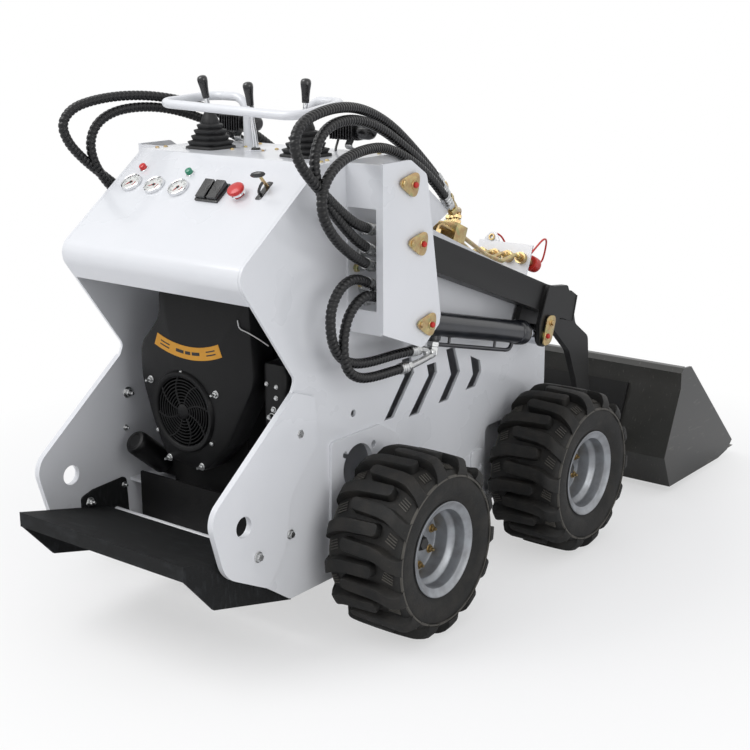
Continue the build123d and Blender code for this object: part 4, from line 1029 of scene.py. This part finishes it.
# Hydraulic cylinders
# Honed steel barrels in a deep blue-black gloss, with a screwed gland, a base eye and a thin steel line to
# the rod end. The rods are hard chrome. Barrel and rod meet at the gland's seal.
gloss_black = plain(
    "cylinder_black", (18, 4), (24, 26, 31), (36, 38, 45), ((18, 4), 0.14, 0.24), ((600, 2), 0.0003, 0.15),
    (0.4, 0.7), Coat_Weight=0.4, Coat_Roughness=0.1,
)
rod_chrome = plain(
    "rod_chrome", (70,), (200, 202, 206), (228, 229, 232), ((800,), 0.08, 0.1, 0.3, 0.7), Metallic=1.0
)
gloss_black.on("lift_barrel_right", "lift_barrel_left", "tilt_barrel")
rod_chrome.on("lift_rod_right", "lift_rod_left", "tilt_rod")
CYLINDER_Y = 350
lift_ahead = unit((ROD_PIN[0] - BASE_PIN[0], 0, ROD_PIN[1] - BASE_PIN[1]))
lift_under = np.cross(LEFTWARD, lift_ahead)
GLAND = (
    (31.4, 496), (33, 497), (34.6, 500), (34.6, 505), (33.4, 506.4), (34.8, 508), (35, 514), (33.6, 515.4),
    (35, 517), (35, 527), (33.6, 530.6), (27, 531.4), (19.4, 531.6), (19.4, 529),
)
COLLAR = ((31.4, 28), (33.4, 29), (34, 33), (32, 36), (31.4, 38))
ROD_END_LINE = (
    (112, 46), (124, 51), (140, 52), (290, 52), (440, 52), (462, 51.5), (476, 48), (484, 40), (487, 30),
)


def by_cylinder(side, distance, drop=0.0):
    """A point beside a lift cylinder: its distance from the base pin along the axis, and its drop below it."""
    base = np.array((BASE_PIN[0], side * CYLINDER_Y, BASE_PIN[1]))
    return base + lift_ahead * distance + lift_under * drop


for name, side in (("right", -1), ("left", 1)):
    skins = [lathe(profile, by_cylinder(side, 0), lift_ahead, 64) for profile in (GLAND, COLLAR)]
    skins.append(tube(bowed([by_cylinder(side, *spot) for spot in ROD_END_LINE], 8), 5.6))
    for distance in (180, 400):
        clip = (by_cylinder(side, distance, 28), by_cylinder(side, distance, 50))
        skins.append(tube(clip, 4, LEFTWARD, 10))
    port = by_cylinder(side, 110, 30)
    skins.append(lathe([(17, 0), (17, 10), (15, 12), (14.2, 12)], port, lift_under, 32))
    skins.append(lathe([(14.2, 16), (16.5, 16), (16.5, 27), (14.2, 27)], port, lift_under, 6, 1))
    skins.append(lathe(drum(28, 29.6, 14.6), port, lift_under, 24, 1))
    make(f"lift_gland_{name}", skins, [gloss_black, bright_zinc], f"lift_barrel_{name}")


# Bucket and its coupling
# The bucket is folded from thick sheet with plate cheeks and a hardened edge, painted charcoal and polished
# bare where it has worked. The coupling plate hooks to its back and carries the ears for the pins.
bucket_grey = Finish("bucket_charcoal", Coat_Weight=0.15, Coat_Roughness=0.2)
cloud = bucket_grey.noise(5.0, 5.0)
scratch = bucket_grey.noise(60.0, 6.0, (0.25, 3.0, 1.0))
shade = bucket_grey.mix(cloud.step(0.35, 0.7), colour(49, 49, 46), colour(61, 60, 57))
bucket_grey.feed(Base_Color=bucket_grey.mix(scratch.step(0.62, 0.76) * 0.5, shade, colour(112, 110, 104)))
bucket_grey.feed(Roughness=cloud * 0.2 + 0.26)
bucket_grey.bump(scratch * 0.5 + bucket_grey.noise(420.0) * 0.5, 0.0005, 0.25)
worn_steel = Finish("worn_edge_steel", Metallic=0.9)
wear = worn_steel.noise(80.0, 5.0, (0.5, 3.0, 1.0))
worn_steel.feed(Base_Color=worn_steel.mix(wear.step(0.4, 0.7), colour(92, 90, 86), colour(142, 140, 134)))
worn_steel.feed(Roughness=wear * 0.3 + 0.3)
worn_steel.bump(wear, 0.0006, 0.4)
softened(["bucket"], 1.8, bucket_grey, "bucket")
softened(["bucket_edge"], 1.2, worn_steel, "bucket")
softened(["coupling_plate"], 1.6, charcoal, "bucket")
gold_zinc.on("coupling_pins")

CHEEK_WELD_Y = 511.5
HEEL, KNEE, TOP = (1264, 22), (1218, 127), (1308, 333)
BACK_LINE = (HEEL, KNEE, TOP, (1307, 383))
WELD_AHEAD = 9
skins = []
for side in SIDES:
    y = side * CHEEK_WELD_Y
    for start, end in zip(BACK_LINE, BACK_LINE[1:]):
        ends = ((start[0] + WELD_AHEAD, y, start[1] + 4), (end[0] + WELD_AHEAD, y, end[1]))
        skins.append(weld(*ends, 3.4))
    skins.append(weld((1290, y, 31), (1600, y, 31), 3.4))
skins.append(weld((1583, -500, 47), (1583, 500, 47), 3.0, UPWARD))
make("bucket_welds", skins, [bucket_grey], "bucket")

BACK_PIN = (1130, 150)
up_back = unit((TOP[0] - KNEE[0], 0, TOP[1] - KNEE[1]))
behind = np.array((-up_back[2], 0, up_back[0]))
skins = []
for side in SIDES:
    out = (0, side, 0)
    for y in (285, 299, 325, 339):
        root = np.array((KNEE[0], side * y, KNEE[1])) + behind * 14.5
        skins.append(weld(root + up_back * 10, root + up_back * 78, 3))
    pin_end = (BACK_PIN[0], side * 342, BACK_PIN[1])
    skins.append(lathe([(0, 0), (17.5, 0), (17.5, 4), (15, 5), (0, 5)], pin_end, out, 32, 1))
    skins += bolt(np.add(pin_end, (0, side * 4, 0)), out, 8, 1)
make("coupling_welds", skins, [charcoal, gold_zinc], "bucket")


# Hoses
# Reinforced rubber hoses, 24 mm over a black spiral guard. Three on the right and two on the left loop from
# the towers over the console to the nose; two more on each side drop to the lift cylinder's port.
hose_black = plain(
    "hose_guard_black", (60,), (8, 8, 9), (15, 15, 17), ((200,), 0.2, 0.24), ((1200,), 0.0002, 0.3),
    Specular_IOR_Level=0.35, Coat_Weight=0.15, Coat_Roughness=0.15,
)
HOSE_A = (
    (-35, -352, 996), (-90, -362, 1010), (-150, -368, 1042), (-214, -372, 1088), (-274, -375, 1135),
    (-318, -376, 1180), (-333, -376, 1226), (-300, -370, 1262), (-232, -360, 1278), (-150, -345, 1284),
    (-60, -325, 1278), (40, -300, 1256), (140, -280, 1218), (235, -264, 1164), (320, -254, 1106),
    (378, -248, 1062),
)
HOSE_B = (
    (-40, -352, 948), (-96, -360, 974), (-152, -364, 1018), (-204, -366, 1066), (-244, -366, 1118),
    (-256, -366, 1172), (-236, -362, 1218), (-186, -352, 1246), (-112, -338, 1254), (-30, -322, 1246),
    (60, -306, 1220), (150, -292, 1180), (240, -284, 1130), (318, -278, 1078), (366, -275, 1036),
)
HOSE_C = (
    (-44, -354, 912), (-100, -366, 934), (-160, -377, 966), (-215, -384, 1006), (-250, -386, 1052),
    (-256, -386, 1098), (-230, -382, 1138), (-178, -374, 1166), (-110, -360, 1178), (-36, -342, 1182),
    (50, -322, 1178), (140, -308, 1152), (225, -304, 1110), (300, -302, 1058), (346, -301, 1012),
)
HOSE_D = (
    (-34, -352, 862), (-76, -356, 884), (-126, -360, 892), (-172, -364, 876), (-202, -365, 838),
    (-206, -365, 790), (-192, -363, 742), (-158, -360, 706), (-108, -358, 686), (-48, -356, 678),
    (20, -354, 676), (84, -352, 674), (140, -350, 668),
)
HOSE_E = (
    (-20, -366, 828), (-62, -368, 848), (-108, -370, 842), (-146, -370, 812), (-164, -370, 768),
    (-166, -370, 718), (-148, -370, 676), (-106, -369, 652), (-52, -368, 644), (12, -367, 642),
    (78, -366, 640),
)

GUARD_PITCH = 12.0
GUARD = ((0.0, 10.6), (0.16, 10.8), (0.24, 12.0), (0.5, 12.4), (0.84, 12.1), (0.93, 10.8))
AROUND = 16


def hose_line(points):
    """The points along a hose's own NURBS spline of order 3, which has its route as control points."""
    curve = bpy.data.curves.new("route", "CURVE")
    curve.dimensions = "3D"
    curve.resolution_u = 16
    spline = curve.splines.new("NURBS")
    spline.points.add(len(points) - 1)
    spline.points.foreach_set("co", np.insert(metres(points), 3, 1, axis=1).ravel())
    spline.order_u = 3
    spline.use_endpoint_u = True
    holder = bpy.data.objects.new("route", curve)
    line = bpy.data.meshes.new_from_object(holder)
    found = np.zeros(len(line.vertices) * 3)
    line.vertices.foreach_get("co", found)
    bpy.data.meshes.remove(line)
    bpy.data.objects.remove(holder)
    bpy.data.curves.remove(curve)
    return found.reshape(-1, 3) * 1000 + REAR_AXLE


def guarded(points):
    """A hose in its spiral guard: rings follow a helix, so that the guard's groove runs along the rows. Each
    ring's radius repeats the guard's section once a pitch, and the ends are cut square."""
    line = hose_line(points)
    along = np.append(0, np.cumsum(np.linalg.norm(np.diff(line, axis=0), axis=1)))
    turns = int(along[-1] / GUARD_PITCH) + 2
    phase, radius = np.array(GUARD).T
    start = (np.arange(-1, turns)[:, None] + phase).ravel() * GUARD_PITCH
    share = np.arange(AROUND + 1) / AROUND
    place = np.clip(start[:, None] + share * GUARD_PITCH, 0, along[-1])

    def at_place(values):
        return np.stack([np.interp(place, along, values[:, k]) for k in range(3)], axis=-1)

    ahead = unit(at_place(unit(np.gradient(line, along, axis=0))))
    first = unit(np.cross((0.0, 1.0, 0.0), ahead))
    turn = 2 * math.pi * share[None, :, None]
    reach = np.tile(radius, turns + 1)[:, None, None]
    grid = at_place(line) + reach * (np.cos(turn) * first + np.sin(turn) * np.cross(ahead, first))
    return skin(grid, False)


FLIPS = (("right", np.array((1, 1, 1))), ("left", np.array((1, -1, 1))))
UPPER = {"right": (HOSE_A, HOSE_B, HOSE_C), "left": (HOSE_A, HOSE_B)}
LOWER = (HOSE_D, HOSE_E)
skins = [guarded(points * flip) for name, flip in FLIPS for points in UPPER[name]]
make("spiral_hoses_upper", skins, [hose_black], "root", ["upper_hoses"], 50)
for name, flip in FLIPS:
    obj = make(f"spiral_hoses_{name}", [guarded(points * flip) for points in LOWER], [hose_black], "root",
               ["lift_hoses"] if name == "right" else [], 50)
    obj.parent = None
    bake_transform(obj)


# Hose ends and clamps
# Each hose ends in a crimped sleeve with a hexagon nut, both bright zinc. The lower ends turn through the
# body's side by an elbow, and the upper ends turn down to the yellow zinc block or the hood.
SLEEVE = (
    (10, -24), (14, -24), (14.6, -22), (14.6, -17), (13.4, -15), (14.6, -13), (14.6, -8), (13.4, -6),
    (14.6, -4), (14.6, 1), (12, 3), (9, 4), (9, 8), (0, 8),
)
HOOD_TOP = (285, 950)
HOOD_FOOT = (858, 702)
hood_ahead = unit((HOOD_FOOT[0] - HOOD_TOP[0], 0, HOOD_FOOT[1] - HOOD_TOP[1]))
hood_up = np.array((-hood_ahead[2], 0, hood_ahead[0]))


def over_hood(down, above, y):
    """A point by how far down the hood from its top, how far above it, and Y."""
    return np.array((HOOD_TOP[0], y, HOOD_TOP[1])) + hood_ahead * down + hood_up * above


def crimped(at, away, long):
    """A hose's crimped sleeve, nut and stem: profiles turned about the hose's direction at its end."""
    stem = [(7.4, 18), (7.4, long), (0, long)]
    return [
        lathe(SLEEVE, at, away, 28),
        lathe(drum(7, 20.5, 13.6, 1, 1.5), at, away, 6),
        lathe(stem, at, away, 20),
    ]


def end_of(points):
    """A route's end and its direction there."""
    end = np.array(points[-1], float)
    return end, unit(end - points[-2])


def turned_in(points, flip):
    """A hose's lower end: its sleeve, the elbow into the body's side, and the nut against the side."""
    start, back = end_of(points[::-1])
    corner = start + back * 36
    root = np.array((corner[0], -BODY_HALF, corner[2]))
    route = (start + back * 20, start + back * 30 + (0, 1, 0), corner + (0, 8, 0), corner + (0, 20, 0), root)
    return crimped(start * flip, back * flip, 22) + [
        tube(bowed(route, 6) * flip, 7.6, (0.3, 0, 1)),
        lathe(drum(0, 10.4, 15, 1, 1.4), root * flip, (0, -flip[1], 0), 6),
    ]


def turned_down(points, seat, flip):
    """A hose's upper end: its sleeve, and the elbow down to a hexagon on its seat over the hood."""
    end, ahead = end_of(points)
    crest = (end + ahead * 44 + seat + hood_up * 44) / 2
    route = (end + ahead * 16, end + ahead * 34, crest, seat + hood_up * 34, seat + hood_up * 12, seat)
    return crimped(end * flip, ahead * flip, 24) + [
        tube(bowed(route, 8) * flip, 7.6, (0.3, 1, 0), 16, 1),
        lathe(drum(0, 10, 14.4, 1, 1.2), seat * flip, hood_up, 6, 1),
        lathe(drum(14, 24, 12.4, 1, 1.2), seat * flip, hood_up, 6, 1),
        lathe(drum(-8, 8, 14, 1, 1.4), (end + ahead * 34) * flip, ahead * flip, 6, 1),
    ]


SEATS = {
    "right": ((150, 48, -236), (140, 48, -258), (126, 48, -276)),
    "left": ((146, 0, -236), (128, 0, -262)),
}
PLUG = ((0, 0), (9.4, 0), (10.4, 1), (10.4, 9), (9.4, 10), (5, 10), (5, 7.5), (0, 7.5))
skins = []
for name, flip in FLIPS:
    for points in (HOSE_A, HOSE_B, HOSE_C, HOSE_D, HOSE_E):
        skins += turned_in(points, flip)
    for points, seat in zip(UPPER[name], SEATS[name]):
        skins += turned_down(points, over_hood(*seat), flip)
for side in SIDES:
    for x, z in ((-25, 897), (-8, 854)):
        skins.append(lathe(PLUG, (x, side * BODY_HALF, z), (0, side, 0), 6, 1))
make("hose_ends", skins, [bright_zinc, gold_zinc], "root", ["hose_fittings"])

PORT_BALL = ((0, -10), (12, -9), (15, -4), (15, 4), (12, 9), (0, 10))
seat = by_cylinder(-1, 110, 66)
for name, flip in FLIPS:
    skins = []
    for points, entry in zip(LOWER, (seat + (-18, 0, -2), seat + (-14, -6, -12))):
        end, ahead = end_of(points)
        skins += crimped(end * flip, ahead * flip, 28)
        crest = (end + ahead * 40 + entry) / 2
        bend = bowed((end + ahead * 22, end + ahead * 32, crest, entry + (-10, 0, -1), entry), 6)
        skins.append(tube(bend * flip, 8.4))
    skins.append(lathe(drum(-14, 8.4, 16.4, 1.4), seat * flip, (0.24, 0, 0.97), 6))
    skins.append(lathe(PORT_BALL, (seat + (-8, 0, -6)) * flip, FORWARD, 24))
    make(f"lift_unions_{name}", skins, [bright_zinc], f"lift_barrel_{name}")


# Hood lines and couplers
# Four yellow zinc steel lines run down the hood to quick couplers on an upright white plate with a tab on top.
# Red dust caps hang from two of them on red cords. A drilled white lug stands low on each side of the body.
gold_zinc.on("hydraulic_tubes")
COUPLER_UP = 65
BLOCK_Y = (182, 292)
BLOCK_LINE = ((112, 0), (164, 0), (164, 48), (112, 48))
COUPLERS = (-88, -133, -178, -223)
UNION = ((0, 0), (12, 0), (13, 1.2), (13, 11), (12, 12), (0, 12))
block_line = [over_hood(down, above, 0)[::2] for down, above in BLOCK_LINE]
skins = [plate(block_line, *BLOCK_Y, (0, 0, 0), edge=1.5)]
for index, y in enumerate(COUPLERS):
    for start, size, sides, finish in ((540, 11, 6, 0), (594, 13, 6, 0), (612, 12, 32, 1)):
        at = over_hood(start, COUPLER_UP, y)
        skins.append(lathe(drum(0, 14, size, 1, 1.2), at, hood_ahead, sides, finish))
    collar = [(12, 0), (17.4, 0), (18, 1), (18, 5), (17.4, 6), (12, 6)]
    skins.append(lathe(collar, over_hood(579, COUPLER_UP, y), hood_ahead, 40, 1))
    skins.append(lathe(drum(0, 13, 10.2, 0.8, 1), over_hood(165, 26, -190 - 27 * index), hood_ahead, 6))
    skins.append(lathe(UNION, over_hood(46, 0, -195 - 28 * index), hood_up, 6))
ring = over_hood(570.5, 118, -104) + polar(8, 2 * math.pi * np.arange(25) / 24) @ (LEFTWARD, hood_up)
skins.append(tube(ring, 2.6, hood_ahead, 10, 0, False))
make("line_couplers", skins, [gold_zinc, bright_zinc], "root")

TAB = ((-26, 0), (26, 0), (26, 6), (10, 27), (-10, 27), (-26, 6))
LUG_AT = (503, 268)
lug = oblong(29, 33, 14)
lug_hole = circle(11, len(lug), (8, -18), math.atan2(-33, -29))
skins = [plate(rounded(TAB, 5), 0.5, 5.5, over_hood(573, 107, -104), LEFTWARD, hood_up)]
for side in SIDES:
    foot = (LUG_AT[0], side * BODY_HALF, LUG_AT[1])
    skins.append(plate(lug, *sorted((0, -6 * side)), foot, hole=lug_hole))
make("white_tabs", skins, [white_paint], "root")

DUST_CAP = ((0, -22), (20, -22), (22.6, -20), (22.6, 2), (21.6, 10), (17, 15), (9, 18), (0, 18.4))
CORD = ((18, 32, 66), (-16, 42, 80), (-44, 28, 52), (-58, 8, 18))
skins = []
for y, sway in ((-223, -1), (-133, 1)):
    at = over_hood(640, COUPLER_UP, y)
    skins.append(lathe(DUST_CAP, at, hood_ahead, 36))
    route = [at + hood_ahead * 14, at + hood_ahead * 34 + (0, sway * 12, 24)]
    route += [at + (x, sway * y, z) for x, y, z in CORD]
    skins.append(tube(bowed(route, 10), 2.8, (0.2, 1, 0.1), 10))
make("dust_caps", skins, [cap_red], "root")
